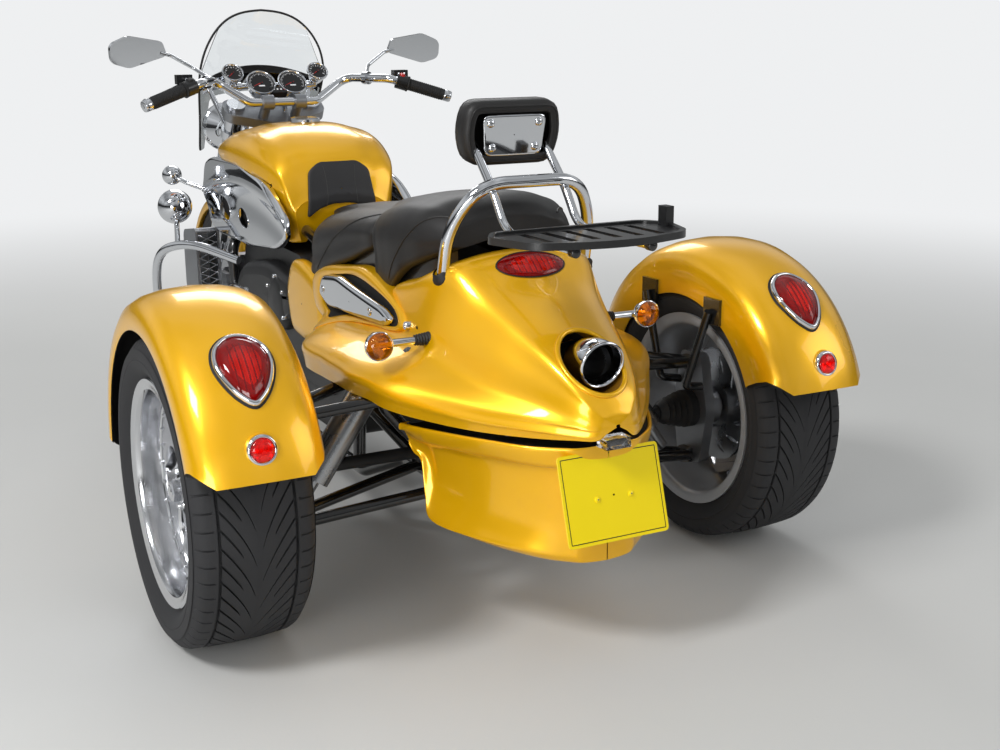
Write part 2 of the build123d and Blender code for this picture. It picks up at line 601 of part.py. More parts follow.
cover_seat = ENGINE_HALF + FIT
ALTERNATOR = (-85, 505)
ALTERNATOR_RADIUS = 82
left_case = side_slab([(-470, 330), (240, 300), (250, 420), (-20, 470), (-470, 520)], 30, cover_seat,
    cover_seat + 14, 5)
left_case += cover(ALTERNATOR[0], ALTERNATOR[1], ALTERNATOR_RADIUS, cover_seat, 52, 12)
keep("engine_covers", biggest(left_case))
lozenge = side_slab([(-460, 432), (-250, 452), (-250, 512), (-460, 492)], 22, cover_seat + 14 + FIT,
    cover_seat + 44, 6)
for count in range(6):
    lozenge -= Pos(cover_seat + 45, -430 + 30 * count, 472) * Box(6, 10, 44)
keep("engine_covers", biggest(lozenge - left_case))
right_case = side_slab([(-470, 240), (240, 240), (250, 400), (-60, 430), (-470, 430)], 30, cover_seat,
    cover_seat + 12, 4)
right_case += cover(60, 320, 84, cover_seat, 40, 10)
keep("engine_covers", flip(biggest(right_case)))

# Exhaust: three headers on the right join a collector, then a silencer on the centre line
HEADER_RADIUS = 19
COLLECTOR_RADIUS = 27
header_ports = (-400, -270, -140)
collector_x = -CRADLE_X - FRAME_TUBE_RADIUS - COLLECTOR_RADIUS - 12
COLLECTOR_Z = 250
exhaust = tube(
    [(collector_x, -430, COLLECTOR_Z), (collector_x, 420, COLLECTOR_Z), (-60, 640, 420), (0, 800, 508)],
    COLLECTOR_RADIUS, 60,
)
for port in header_ports:
    exhaust += tube(
        [(-ENGINE_HALF - FIT, port, 560), (collector_x, port - 10, 545),
            (collector_x, port + 30, COLLECTOR_Z)],
        HEADER_RADIUS, 40,
    )
exhaust -= engine
exhaust -= parts["frame_tubes"]
keep("exhaust", biggest(exhaust))
SILENCER_RADIUS = 72
SILENCER_TILT = 12
SILENCER_LENGTH = 360
silencer_start = Vector(0, 790, 500)
silencer_direction = Vector(0, cos(radians(SILENCER_TILT)), sin(radians(SILENCER_TILT)))


def along_silencer(distance):
    place = silencer_start + silencer_direction * distance
    return (place.X, place.Y, place.Z)


silencer = rod(along_silencer(COLLECTOR_RADIUS), along_silencer(SILENCER_LENGTH), SILENCER_RADIUS)
silencer = biggest(silencer - exhaust - parts["frame_tubes"])
keep("exhaust", silencer)
TIP_RADIUS = 42
TIP_LENGTH = 124
tip_end = SILENCER_LENGTH + TIP_LENGTH
tip = rod(along_silencer(SILENCER_LENGTH + FIT), along_silencer(tip_end), TIP_RADIUS)
tip += rod(along_silencer(tip_end - 12), along_silencer(tip_end), TIP_RADIUS + 3)
tip -= rod(along_silencer(SILENCER_LENGTH + 20), along_silencer(tip_end + 10), TIP_RADIUS - 3)
keep("exhaust", tip)

# Radiator core behind the front wheel and a cowl at each side, its rear closed by mesh
radiator = block((-165, 165), (-625, -572), (300, 560)) + block((-160, 160), (-575, -548), (430, 450))
radiator -= parts["frame_tubes"]
keep("radiator", biggest(radiator))
COWL_X = (180, 255)
COWL_Y = (-800, -655)
COWL_Z = (398, 640)
cowl_outline = [(COWL_Y[0], COWL_Z[0] + 40), (COWL_Y[1], COWL_Z[0]), (COWL_Y[1], COWL_Z[1]),
    (COWL_Y[0], COWL_Z[1] - 20)]
cowl = extrude(Plane.YZ.offset(COWL_X[0]) * outline_face(cowl_outline, [20, 12, 12, 30]),
    COWL_X[1] - COWL_X[0])
COWL_WALL = 6
cowl -= block((COWL_X[0] + COWL_WALL, COWL_X[1] - COWL_WALL), (COWL_Y[0] + 30, COWL_Y[1] + 20),
    (COWL_Z[0] + 40, COWL_Z[1] - 2 * COWL_WALL))
cowl = biggest(cowl + block((165.5, COWL_X[0] + 2), (COWL_Y[1] - 20, -600), (470, 500)))
keep("radiator", both_sides(cowl))
mesh_x = (COWL_X[0] + COWL_WALL + FIT, COWL_X[1] - COWL_WALL - FIT)
mesh_z = (COWL_Z[0] + 40 + FIT, COWL_Z[1] - 2 * COWL_WALL - FIT)
grille_frame = block(mesh_x, (COWL_Y[1] - 8, COWL_Y[1] - 2), mesh_z)
grille_frame -= block((mesh_x[0] + 4, mesh_x[1] - 4), (COWL_Y[1] - 20, COWL_Y[1] + 20),
    (mesh_z[0] + 4, mesh_z[1] - 4))
for count in range(1, 8):
    z = mesh_z[0] + (mesh_z[1] - mesh_z[0]) * count / 8
    grille_frame += rod((mesh_x[0] + 1, COWL_Y[1] - 5, z - 14), (mesh_x[1] - 1, COWL_Y[1] - 5, z + 14), 1.6)
    grille_frame += rod((mesh_x[0] + 1, COWL_Y[1] - 5, z + 14), (mesh_x[1] - 1, COWL_Y[1] - 5, z - 14), 1.6)
keep("radiator_mesh", both_sides(biggest(grille_frame)))

# Crash bars from the upper cradle round the cowls to the lower cradle
guard_route = [(CRADLE_X - 4, -500, 556), (275, -650, 600), (342, -790, 560), (342, -850, 420),
    (310, -820, 240), (CRADLE_X + 4, -520, 200)]
crash_bar = tube(guard_route, GUARD_TUBE_RADIUS, [45, 60, 50, 45])
crash_bar = biggest(crash_bar - frame)
keep("crash_bars", both_sides(crash_bar))
AUX_CENTRE = (270, -803, 690)
AUX_RADIUS = 53
aux = revolve(
    Plane.XZ * outline_face([(0, 0), (AUX_RADIUS, 0), (AUX_RADIUS, 12),
        (0.85 * AUX_RADIUS, 0.75 * AUX_RADIUS), (0, 1.05 * AUX_RADIUS)],
                            [0, 3, 8, 22, 0]), axis=Axis.Z)
aux -= Cylinder(AUX_RADIUS - 5, 16)
aux_place = Pos(AUX_CENTRE[0], AUX_CENTRE[1] - 24, AUX_CENTRE[2]) * Rot(-90, 0, 0)
aux_stem = rod((AUX_CENTRE[0] + 4, AUX_CENTRE[1] + 6, AUX_CENTRE[2] - 30), (300, -702, 583), 8)
aux_lamp = biggest(aux_place * aux + aux_stem - crash_bar - aux_place * Cylinder(AUX_RADIUS - 5, 16))
keep("crash_bars", both_sides(aux_lamp))
aux_lens = aux_place * Pos(0, 0, 4) * Cylinder(AUX_RADIUS - 5 - FIT, 8)
keep("clear_lenses", both_sides(aux_lens - aux_lamp))


def crown(z_top, x_crown, z_crown, x_side, z_side, x_bottom, z_bottom):
    """A crowned section: top centre, crown, widest place and bottom edge."""
    half = [(x_crown, z_crown), (x_side, z_side), (x_bottom, z_bottom)]
    points = [(0, z_top), *half, *[(-x, z) for x, z in reversed(half)]]
    soft = [0.45 * x_crown, 0.45 * x_crown, 22, 14]
    return points, [soft[0], soft[1], soft[2], soft[3], soft[3], soft[2], soft[1]]


# Fuel tank sections
# Columns: y, top centre z, crown x, crown z, widest x, widest z, bottom x, bottom z
TANK = [
    (-555, 925, 120, 915, 195, 885, 185, 845),
    (-420, 968, 128, 955, 215, 895, 205, 825),
    (-270, 968, 145, 950, 222, 885, 208, 770),
    (-160, 938, 140, 925, 205, 868, 180, 700),
    (-92, 888, 105, 876, 155, 838, 150, 668),
    (-60, 795, 70, 788, 122, 752, 122, 664),
]
tank = loft_sections(TANK, crown)
steer_slot = HEAD * Pos(0, STEER_CLEARANCE - 200, 1000) * Box(2 * (FORK_X + FORK_TUBE_RADIUS + 22), 400, 700)
tank -= steer_slot
intake_outline = [
    (-738, 770), (-712, 668), (-620, 630), (-278, 630), (-54, 652), (20, 690), (12, 740), (-130,
        826), (-379, 862),
    (-640, 858), (-716, 835),
]
intake_bends = [25, 30, 60, 300, 80, 24, 24, 150, 300, 60, 25]
INTAKE_X = (176, 200)
intake = side_slab(intake_outline, intake_bends, INTAKE_X[0], INTAKE_X[1], 9)
for y, z, long, high in ((-520, 716, 66, 30), (-330, 706, 48, 24)):
    intake -= Pos(INTAKE_X[1], y, z) * Rot(16, 0, 0) * Rot(0, 90, 0) * extrude(Ellipse(high, long), 7,
        both=True)
intake_void = extrude(Plane.YZ.offset(120) * offset(outline_face(intake_outline, intake_bends), 4), 160)
airbox = block((FIT - INTAKE_X[0], INTAKE_X[0] - FIT), (-430, -270), (664, 735)) - parts["frame_tubes"]
keep("intake_covers", biggest(airbox))
tank = tank - intake_void - flip(intake_void)
tank = biggest(tank)
# Each front indicator stands on a stalk at the front of its cover
stalk_root = (INTAKE_X[0] + 14, INDICATOR_CENTRE[1] + 84, INDICATOR_CENTRE[2] - 44)
stalk_knee = (INDICATOR_CENTRE[0] - 36, INDICATOR_CENTRE[1] + 38, INDICATOR_CENTRE[2] - 22)
stalk_tip = (INDICATOR_CENTRE[0], INDICATOR_CENTRE[1] + 20, INDICATOR_CENTRE[2])
intake += tube([stalk_root, stalk_knee, stalk_tip], 7, 20) + indicator_place * indicator_bowl
keep("intake_covers", both_sides(biggest(intake)))
keep("fuel_tank", biggest(tank - parts["frame_tubes"] - parts["engine_block"]))

# Rear body: a shell open below, from the seat to the tail
# Columns: y, top z, shoulder x, shoulder z, waist x, waist z, lip x, lip z, edge x, edge z
REAR_BODY = [
    (300, 608, 150, 600, 188, 560, 202, 500, 194, 450),
    (430, 650, 165, 640, 202, 590, 276, 522, 268, 474),
    (550, 660, 170, 650, 206, 592, 345, 528, 338, 480),
    (700, 674, 175, 664, 208, 600, 352, 532, 346, 484),
    (850, 712, 178, 700, 212, 604, 352, 530, 346, 487),
    (950, 776, 156, 750, 210, 605, 332, 527, 325, 489),
    (1050, 725, 124, 698, 190, 590, 272, 517, 265, 491),
    (1150, 676, 104, 650, 158, 570, 204, 507, 197, 487),
    (1250, 622, 84, 600, 108, 545, 134, 497, 128, 479),
    (1345, 545, 44, 532, 49, 505, 53, 484, 50, 470),
]


def flared(grow):
    """The body's section, grown or shrunk by the wall, its bottom edge flat."""
    def outline(z_top, x_shoulder, z_shoulder, x_waist, z_waist, x_lip, z_lip, x_edge, z_edge):
        drop = 0 if grow == 0 else 60
        half = [
            (x_shoulder + grow, z_shoulder + grow),
            (x_waist + grow, z_waist + grow),
            (x_lip + grow, z_lip + 0.4 * grow),
            (x_edge + grow, z_edge - drop),
        ]
        points = [(0, z_top + grow), *half, *[(-x, z) for x, z in reversed(half)]]
        bends = [30, 24, 12, 0]
        return points, [60, *bends, *reversed(bends)]
    return outline


body_outer = loft_sections(REAR_BODY, flared(0), ruled=True)
inner_table = [(row[0] + shift, *row[1:]) for row,
    shift in zip(REAR_BODY, [-SHELL_WALL] + [0] * (len(REAR_BODY) - 2) + [-SHELL_WALL])]
body_inner = loft_sections(inner_table, flared(-SHELL_WALL), ruled=True)
rear_body = body_outer - body_inner
# The tail pipe leaves through a deep recess with a body-coloured collar
RECESS_RADIUS = TIP_RADIUS + 16
recess_start = SILENCER_LENGTH + 14
tip_hole = rod(along_silencer(300), along_silencer(640), RECESS_RADIUS)
collar = rod(along_silencer(recess_start), along_silencer(640), RECESS_RADIUS + SHELL_WALL)
rear_body = biggest((rear_body + (collar & body_outer)) - tip_hole)
keep("rear_body", rear_body)
body_mount = rod((240, 730, 530), (240, 730, 640), 9) + rod((240, 910, 530), (240, 910, 640), 9)
body_mount &= Pos(0, 0, -FIT) * body_inner
parts["frame_tubes"] = biggest(parts["frame_tubes"] + body_mount + flip(body_mount))

# Lower shell: a tub under the tail with a flared lip
# Columns: y, lip x, lip z, neck x, neck z, foot x, foot z, bottom z
LOWER_SHELL = [
    (962, 284, 440, 272, 424, 262, 414, 406),
    (998, 274, 442, 250, 406, 248, 368, 350),
    (1045, 258, 444, 236, 402, 250, 252, 236),
    (1150, 208, 447, 184, 402, 202, 240, 216),
    (1250, 146, 448, 124, 400, 138, 234, 210),
    (1304, 86, 449, 70, 400, 76, 230, 208),
]


def tub(grow):
    def outline(x_lip, z_lip, x_neck, z_neck, x_foot, z_foot, z_bottom):
        rise = 0 if grow == 0 else 40
        half = [
            (x_lip + grow, z_lip + rise),
            (x_lip + 0.8 * grow, z_lip - 10),
            (x_neck + grow, z_neck),
            (x_foot + grow, z_foot - 0.3 * grow),
            (0.72 * x_foot + grow, z_bottom - grow),
        ]
        points = [*half, *[(-x, z) for x, z in reversed(half)]]
        bends = [0, 4, 8, 6, 6] if grow == 0 else [0, 3, 6, 4, 4]
        return points, [*bends, *reversed(bends)]
    return outline


shell_outer = loft_sections(LOWER_SHELL, tub(0))
shell_inner_table = [(row[0] + shift, *row[1:]) for row,
    shift in zip(LOWER_SHELL, [-4, 0, 0, 0, 0, -SHELL_WALL])]
shell_inner = loft_sections(shell_inner_table, tub(-SHELL_WALL))
tube_hole = rod((112, 880, SUBFRAME_Z), (110, 1200, SUBFRAME_Z), FRAME_TUBE_RADIUS + FIT)
lower_shell = biggest(shell_outer - shell_inner - tube_hole - flip(tube_hole) - parts["frame_tubes"])
keep("lower_shell", lower_shell)

# Seats, each a crowned pad that rests on the body and the seat rails
# Columns as for the tank
RIDER_SEAT = [
    (TANK[-1][0] + FIT, 744, 62, 738, 112, 702, 116, 664),
    (20, 776, 90, 768, 142, 705, 150, 625),
    (150, 792, 108, 783, 178, 715, 188, 604),
    (290, 815, 118, 806, 190, 725, 196, 622),
    (420, 830, 122, 820, 190, 740, 194, 655),
    (538, 838, 118, 826, 184, 750, 188, 672),
]
PASSENGER_SEAT = [
    (541, 846, 112, 834, 178, 768, 184, 690),
    (610, 866, 125, 852, 192, 775, 198, 672),
    (720, 880, 130, 865, 196, 785, 200, 670),
    (850, 888, 125, 870, 182, 800, 182, 700),
    (925, 852, 100, 838, 142, 800, 142, 745),
]
body_lift = Pos(0, 0, FIT) * body_outer
rider_seat = loft_sections(RIDER_SEAT, crown) - body_lift - frame - Pos(0, 0, FIT) * frame
keep("rider_seat", biggest(rider_seat - Pos(0, 0, FIT) * parts["engine_block"]))
passenger_seat = loft_sections(PASSENGER_SEAT, crown) - body_lift
keep("passenger_seat", biggest(passenger_seat))

# Tank pad: a thin skin lying on the sloping rear of the tank
PAD_THICKNESS = 6
tank_whole = loft_sections(TANK, crown)
PAD_LEAN = 76
pad_normal = (0, sin(radians(PAD_LEAN)), cos(radians(PAD_LEAN)))
pad_plane = Plane(origin=(0, -75, 820), x_dir=(1, 0, 0), z_dir=pad_normal)
# In this plane Y points down along the tank; the lower edge is hollow above the seat's nose
pad_face = outline_face(
    [(-96, 100), (-88, -32), (-45, -54), (45, -54), (88, -32), (96, 100), (48, 64), (-48, 64)],
    [8, 14, 40, 40, 14, 8, 40, 40],
)
pad_column = pad_plane * extrude(pad_face, 90, both=True)
pad_skin = Pos(0, PAD_THICKNESS * pad_normal[1], PAD_THICKNESS * pad_normal[2]) * tank_whole
pad_skin -= Pos(0, 0.03, 0.01) * tank_whole
tank_pad = biggest((pad_skin & pad_column) - parts["rider_seat"])
keep("tank_pad", tank_pad)
cap_base = Pos(0, -330, 958) * Rot(-4, 0, 0) * Cylinder(42, 24, align=(Align.CENTER, Align.CENTER, Align.MIN))
keep("filler_cap", biggest(cap_base - tank))

# Backrest, hoop, stays and rack
HOOP_FOOT = (170, 942, 735)
hoop = tube([HOOP_FOOT, (166, 978, 850), (108, 1012, 926), (-108, 1012, 926), (-166, 978, 850),
    (-HOOP_FOOT[0], HOOP_FOOT[1], HOOP_FOOT[2])], RAIL_TUBE_RADIUS, [60, 60, 60, 60])
stay = tube([(83, 916, 1000), (84, 1006, 912), (84, 1062, 832), (84, 1330, 830)], STAY_RADIUS, [60, 30])
rack_cross = rod((-84, 1200, 829), (84, 1200, 829), STAY_RADIUS - 1)
hoop_foot_pad = Pos(*HOOP_FOOT) * Rot(-8, 38, 0) * Cylinder(RAIL_TUBE_RADIUS + 8, 16)
hoop_feet = hoop_foot_pad + flip(hoop_foot_pad)
grab_rail = hoop + stay + flip(stay) + rack_cross + hoop_feet
grab_rail = biggest(grab_rail - (Pos(0, 0, FIT) * body_outer) - (Pos(0, FIT, 0) * parts["passenger_seat"]))
keep("grab_rail", grab_rail)
RACK_TOP = 853
rack_outline = [(-205, 1215), (-170, 1160), (170, 1160), (205, 1215), (170, 1330), (0, 1385), (-170, 1330)]
rack = Pos(0, 0, RACK_TOP - 14) * extrude(outline_face(rack_outline, [30, 40, 40, 30, 60, 300, 60]), 14)
rack_rim = Pos(0, 0, RACK_TOP - 5) * extrude(offset(outline_face(rack_outline,
    [30, 40, 40, 30, 60, 300, 60]), -12), 20)
rack -= rack_rim
for x in range(-120, 121, 48):
    rack -= block((x - 9, x + 9), (1190, 1310), (700, 900))
rack_clamp = block((-196, -178), (1212, 1240), (RACK_TOP - 10, RACK_TOP + 34))
rack = biggest(rack + rack_clamp - grab_rail)
keep("luggage_rack", rack)
rest_place = Pos(0, 912, 1020) * Rot(-8, 0, 0)
rest_outline = [(-98, -66), (98, -66), (118, 0), (104, 68), (-104, 68), (-118, 0)]
backrest = rest_place * extrude(Plane.XZ * outline_face(rest_outline, [30, 30, 60, 40, 40, 60]), 26,
    both=True)
backrest = fillet(backrest.edges().group_by(Axis.Y)[0], 12)
rest_plate = rest_place * Pos(0, 28.5 + FIT,
    0) * extrude(Plane.XZ * outline_face([(-66, -44), (66, -44), (74, 40), (-74, 40)], 16), 2.5, both=True)
keep("backrest_pad", biggest(backrest - grab_rail))
keep("grab_rail", biggest(rest_plate - backrest - grab_rail))

# Side panels below the rider's seat and handles on the body's flanks
side_panel = side_slab([(40, 450), (150, 440), (292, 455), (292, 600), (215, 618), (60, 640), (20, 560)],
    [40, 30, 12, 12, 30, 30, 60], 180, 198, 7)
side_panel = biggest(side_panel - parts["rider_seat"] - left_case - engine - frame - flip(exhaust))
keep("side_panels", both_sides(side_panel))
handle = side_slab([(362, 604), (382, 640), (470, 650), (752, 628), (778, 604), (752, 584), (420, 590)],
    [12, 20, 60, 16, 14, 16, 30], 214, 236, 7)
handle += rod((200, 408, 620), (216, 408, 620), 8) + rod((200, 732, 606), (216, 732, 606), 8)
handle = biggest(handle - body_outer)
keep("side_handles", both_sides(handle))

# Tail light on the back of the raised tail, plate and its lamp, rear indicators
tail_plane = Plane(origin=(0, 985, 744), x_dir=(-1, 0, 0), z_dir=(0, 0.94, 0.34))
tail_light = extrude(tail_plane * Ellipse(80, 31), 36, both=True) & block((-120, 120), (900, 1015),
    (690, 800))
tail_light = biggest(tail_light - body_outer)
keep("red_lenses", tail_light)
PLATE_SIZE = (229, 178)
PLATE_LEAN = 17
plate_place = Pos(0, 1340, 352) * Rot(-90 + PLATE_LEAN, 0, 0)
number_plate = plate_place * extrude(RectangleRounded(*PLATE_SIZE, 10), 2)
keep("number_plate", number_plate)
plate_bracket = block((-60, 60), (1290, 1350),
    (330, 385)) & (plate_place * Pos(0, 0, -60 - FIT) * Box(150, 110, 120))
keep("number_plate", biggest(plate_bracket - Pos(0, FIT, 0) * shell_outer))
plate_lamp = block((-28, 28), (1323, 1357), (449, 470 - FIT))
keep("clear_lenses", biggest(plate_lamp - Pos(0, FIT, 0) * body_outer - number_plate))
REAR_INDICATOR = (324, 965, 607)
rear_indicator = rod((190, 952, 609), (REAR_INDICATOR[0], REAR_INDICATOR[1] - 18, REAR_INDICATOR[2]), 9)
rear_indicator += Pos(*REAR_INDICATOR) * Rot(0, 0, 180) * indicator_bowl
keep("rear_lamp_bowls", both_sides(biggest(rear_indicator - Pos(FIT, 0, 0) * body_outer)))
keep("rear_indicator_lenses", both_sides(Pos(*REAR_INDICATOR) * Rot(0, 0, 180) * indicator_lens))

# Rear wings, concentric with the wheels
wing_outer_x = WING_INNER_X + WING_WIDTH
WING_INNER_EDGE = 285
WING_OUTER_EDGE = 335
WING_SHOULDER = 392
wing_middle = WING_INNER_X + WING_WIDTH / 2
wing_outline = [
    (WING_INNER_X, WING_INNER_EDGE),
    (WING_INNER_X, WING_SHOULDER),
    (wing_middle, WING_CROWN_RADIUS + 4),
    (wing_outer_x, WING_SHOULDER),
    (wing_outer_x, WING_OUTER_EDGE),
    (wing_outer_x - WING_WALL, WING_OUTER_EDGE),
    (wing_outer_x - WING_WALL, WING_SHOULDER - 0.8 * WING_WALL),
    (wing_middle, WING_CROWN_RADIUS + 4 - WING_WALL),
    (WING_INNER_X + WING_WALL, WING_SHOULDER - 0.8 * WING_WALL),
    (WING_INNER_X + WING_WALL, WING_INNER_EDGE),
]
wing_face = outline_face(wing_outline, [0, 48, 160, 48, 0, 0, 48 - WING_WALL, 155, 48 - WING_WALL, 0])
wing_rear = 90 - WING_REAR_ANGLE
wing_front = WING_FRONT_ANGLE - 90
wing = revolve(Plane.XZ * wing_face, axis=Axis.X, revolution_arc=wing_rear + wing_front)
wing = Pos(0, REAR_AXLE_Y, REAR_TYRE_RADIUS) * Rot(-wing_rear, 0, 0) * wing
keep("rear_wings", both_sides(wing))


def on_wing(angle, x, radius):
    """A place on the wing. The angle is measured from straight back, upwards."""
    return (x, REAR_AXLE_Y + radius * cos(radians(angle)), REAR_TYRE_RADIUS + radius * sin(radians(angle)))


WING_LAMP_ANGLE = 48
WING_LAMP_HALF = (58, 82)
lamp_x = REAR_WHEEL_X - 4
lamp_plane = Plane(
    origin=on_wing(WING_LAMP_ANGLE, lamp_x, WING_CROWN_RADIUS - 2),
    x_dir=(1, 0, 0),
    z_dir=(0, cos(radians(WING_LAMP_ANGLE)), sin(radians(WING_LAMP_ANGLE))),
)


def teardrop(inset):
    half_x, half_y = WING_LAMP_HALF[0] - inset, WING_LAMP_HALF[1] - inset
    points = [(0, -half_y), (half_x, -0.1 * half_y), (0.72 * half_x, half_y), (-0.72 * half_x, half_y),
        (-half_x, -0.1 * half_y)]
    return outline_face(points, [16, 0.6 * half_x, 0.62 * half_x, 0.62 * half_x, 0.6 * half_x])


wing_outer_solid_face = outline_face(
    [(WING_INNER_X, 200), *wing_outline[1:4], (wing_outer_x, 200)], [0, 48, 160, 48, 0]
)
wing_solid = Pos(0, REAR_AXLE_Y, REAR_TYRE_RADIUS) * Rot(-wing_rear - 10, 0, 0) * revolve(
    Plane.XZ * wing_outer_solid_face, axis=Axis.X, revolution_arc=120
)
bezel = extrude(lamp_plane * (teardrop(0) - teardrop(9)), 14, both=True) - wing_solid
lens = extrude(lamp_plane * teardrop(9 + FIT), 16, both=True) - wing_solid
keep("rear_lamp_bowls", both_sides(biggest(bezel)))
keep("red_lenses", both_sides(biggest(lens)))
REFLECTOR_ANGLE = 26
reflector_at = on_wing(REFLECTOR_ANGLE, REAR_WHEEL_X + 2, WING_CROWN_RADIUS - 6)
reflector_plane = Plane(origin=reflector_at, x_dir=(1, 0, 0), z_dir=(0, 0.98, 0.2))
reflector = extrude(reflector_plane * Circle(27), 26) - wing_solid
keep("red_lenses", both_sides(biggest(reflector)))

# Final drive, half shafts with ribbed boots, uprights with stub axles, wishbones and dampers
AXLE_Z = REAR_TYRE_RADIUS
drive = Pos(0, REAR_AXLE_Y, AXLE_Z) * Rot(0, 90, 0) * Cylinder(88, 170)
drive = fillet(drive.edges(), 18)
drive += Pos(0, REAR_AXLE_Y - 70, AXLE_Z) * Rot(90, 0, 0) * Cylinder(46, 180)
drive += block((-50, 50), (REAR_AXLE_Y - 60, REAR_AXLE_Y + 60), (238, 300))
drive -= parts["frame_tubes"]
keep("final_drive", biggest(drive - parts["exhaust"]))
prop_shaft = rod((0, REAR_AXLE_Y - 160 - FIT, AXLE_Z), (0, ENGINE_REAR - 20, 360),
    26) - engine - parts["frame_tubes"]
keep("drive_shafts", biggest(prop_shaft - drive))
UPRIGHT_X = (552, 578)
STUB_END = REAR_WHEEL_X + rear_hub_range[1] + 12
upright_outline = [(REAR_AXLE_Y - 44, 190), (REAR_AXLE_Y + 44, 190), (REAR_AXLE_Y + 70, AXLE_Z),
    (REAR_AXLE_Y + 38, 462), (REAR_AXLE_Y - 38, 462), (REAR_AXLE_Y - 70, AXLE_Z)]
upright = extrude(Plane.YZ.offset(UPRIGHT_X[0]) * outline_face(upright_outline, [16, 16, 40, 16, 16, 40]),
    UPRIGHT_X[1] - UPRIGHT_X[0])
upright += rod((UPRIGHT_X[0], REAR_AXLE_Y, AXLE_Z), (STUB_END, REAR_AXLE_Y, AXLE_Z), STUB_RADIUS)
upright += rod((UPRIGHT_X[0], REAR_AXLE_Y, AXLE_Z),
    (REAR_WHEEL_X + rear_disc_place - 12, REAR_AXLE_Y, AXLE_Z), 46)
keep("rear_uprights", both_sides(upright))
boot_profile = [(0, 0), (46, 0), (46, 22)]
for count in range(4):
    boot_profile += [(34 - 3 * count, 30 + 14 * count), (43 - 4 * count, 37 + 14 * count)]
boot_profile += [(20, 96), (0, 96)]
boot = revolve(Plane.XZ * make_face(Polyline(*boot_profile, close=True)), axis=Axis.Z)
outer_boot = Pos(UPRIGHT_X[0] - FIT, REAR_AXLE_Y, AXLE_Z) * Rot(0, -90, 0) * boot
inner_boot = Pos(85 + FIT, REAR_AXLE_Y, AXLE_Z) * Rot(0, 90, 0) * boot
half_shaft = outer_boot + inner_boot + rod((120, REAR_AXLE_Y, AXLE_Z),
    (UPRIGHT_X[0] - 40, REAR_AXLE_Y, AXLE_Z), 14)
half_shafts = keep("drive_shafts", both_sides(biggest(half_shaft - parts["final_drive"])))
ARM_RADIUS = 13
WISHBONES = [(440, OUTRIGGER_X - 6, 478, 545), (205, 128, 262, 545)]
arms = []
for z_out, x_in, z_in, x_out in WISHBONES:
    for y in (730, 910):
        arms.append(rod((x_in, y, z_in), (x_out, REAR_AXLE_Y + (y - REAR_AXLE_Y) * 0.15, z_out), ARM_RADIUS))
upper = arms[0] + arms[1] + Pos(545, REAR_AXLE_Y, 440) * Cylinder(18, 30)
lower = arms[2] + arms[3] + Pos(545, REAR_AXLE_Y, 205) * Cylinder(20, 34)
upper = biggest((upper - upright) - parts["frame_tubes"])
lower = biggest((lower - upright) - parts["frame_tubes"])
keep("wishbones", both_sides(upper))
keep("wishbones", both_sides(lower))
damper_foot = (470, REAR_AXLE_Y, 236)
damper_head = (268, REAR_AXLE_Y, 520)
damper = rod(damper_foot, damper_head, 16)
coil_start = Vector(*damper_foot) + (Vector(*damper_head) - Vector(*damper_foot)) * 0.22
coil_end = Vector(*damper_foot) + (Vector(*damper_head) - Vector(*damper_foot)) * 0.8
damper += rod((coil_start.X, coil_start.Y, coil_start.Z), (coil_end.X, coil_end.Y, coil_end.Z), 34)
damper = biggest(damper - lower - half_shafts - parts["frame_tubes"] - upper)
keep("dampers", both_sides(damper))
post_x = WING_INNER_X - 15
for root_y, knee_y, pad_y, pad_z in ((776, 768, 700, 600), (864, 872, 955, 592)):
    post = tube([(UPRIGHT_X[0] + 6, root_y, 385), (post_x, knee_y, 395), (post_x, pad_y, pad_z)], 10, 14)
    post += Pos(WING_INNER_X - FIT - 4, pad_y, pad_z) * Box(8, 60, 60)
    keep("wing_brackets", both_sides(biggest(post - upright)))

# Footpegs on the cradle
peg = tube([(CRADLE_X + 2, -210, 190), (215, -210, 290), (340, -210, 296)], 11, 30)
peg += rod((240, -210, 291), (345, -210, 296), 18)
keep("footpegs", both_sides(biggest(peg - frame - left_case - flip(exhaust))))

# The frame is kept as two nodes, face to face across one plane
FRAME_JOINT_Y = 345
whole_frame = parts.pop("frame_tubes")
behind_joint = block((-600, 600), (FRAME_JOINT_Y, 1500), (0, 1000))
keep("frame_tubes", biggest(whole_frame - behind_joint))
keep("rear_frame", biggest(whole_frame & behind_joint))

os.makedirs("parts", exist_ok=True)
for name, shape in parts.items():
    export_step(shape, f"parts/{name}.step")
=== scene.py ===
"""Dresses the motorized trike: smooth bodywork, seats, tyres, wheels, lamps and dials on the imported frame."""
import json
from contextlib import contextmanager
from math import copysign, cos, exp, hypot, pi, radians, sin, sqrt

import bmesh
import bpy
from mathutils import Matrix, Vector
from mathutils.bvhtree import BVHTree


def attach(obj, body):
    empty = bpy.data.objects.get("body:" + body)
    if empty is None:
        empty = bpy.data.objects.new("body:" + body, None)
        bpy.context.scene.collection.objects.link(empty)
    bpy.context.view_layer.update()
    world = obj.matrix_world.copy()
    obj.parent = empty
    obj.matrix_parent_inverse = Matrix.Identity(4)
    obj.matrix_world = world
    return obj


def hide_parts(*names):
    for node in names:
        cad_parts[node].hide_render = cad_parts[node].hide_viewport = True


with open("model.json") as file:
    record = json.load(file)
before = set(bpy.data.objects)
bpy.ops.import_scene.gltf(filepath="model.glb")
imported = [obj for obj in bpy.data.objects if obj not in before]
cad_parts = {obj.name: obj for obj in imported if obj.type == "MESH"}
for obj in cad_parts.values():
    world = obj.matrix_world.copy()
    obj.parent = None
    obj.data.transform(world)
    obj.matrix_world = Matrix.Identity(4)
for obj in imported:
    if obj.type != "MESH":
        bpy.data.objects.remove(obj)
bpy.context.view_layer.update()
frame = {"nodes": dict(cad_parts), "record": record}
MM = 0.001
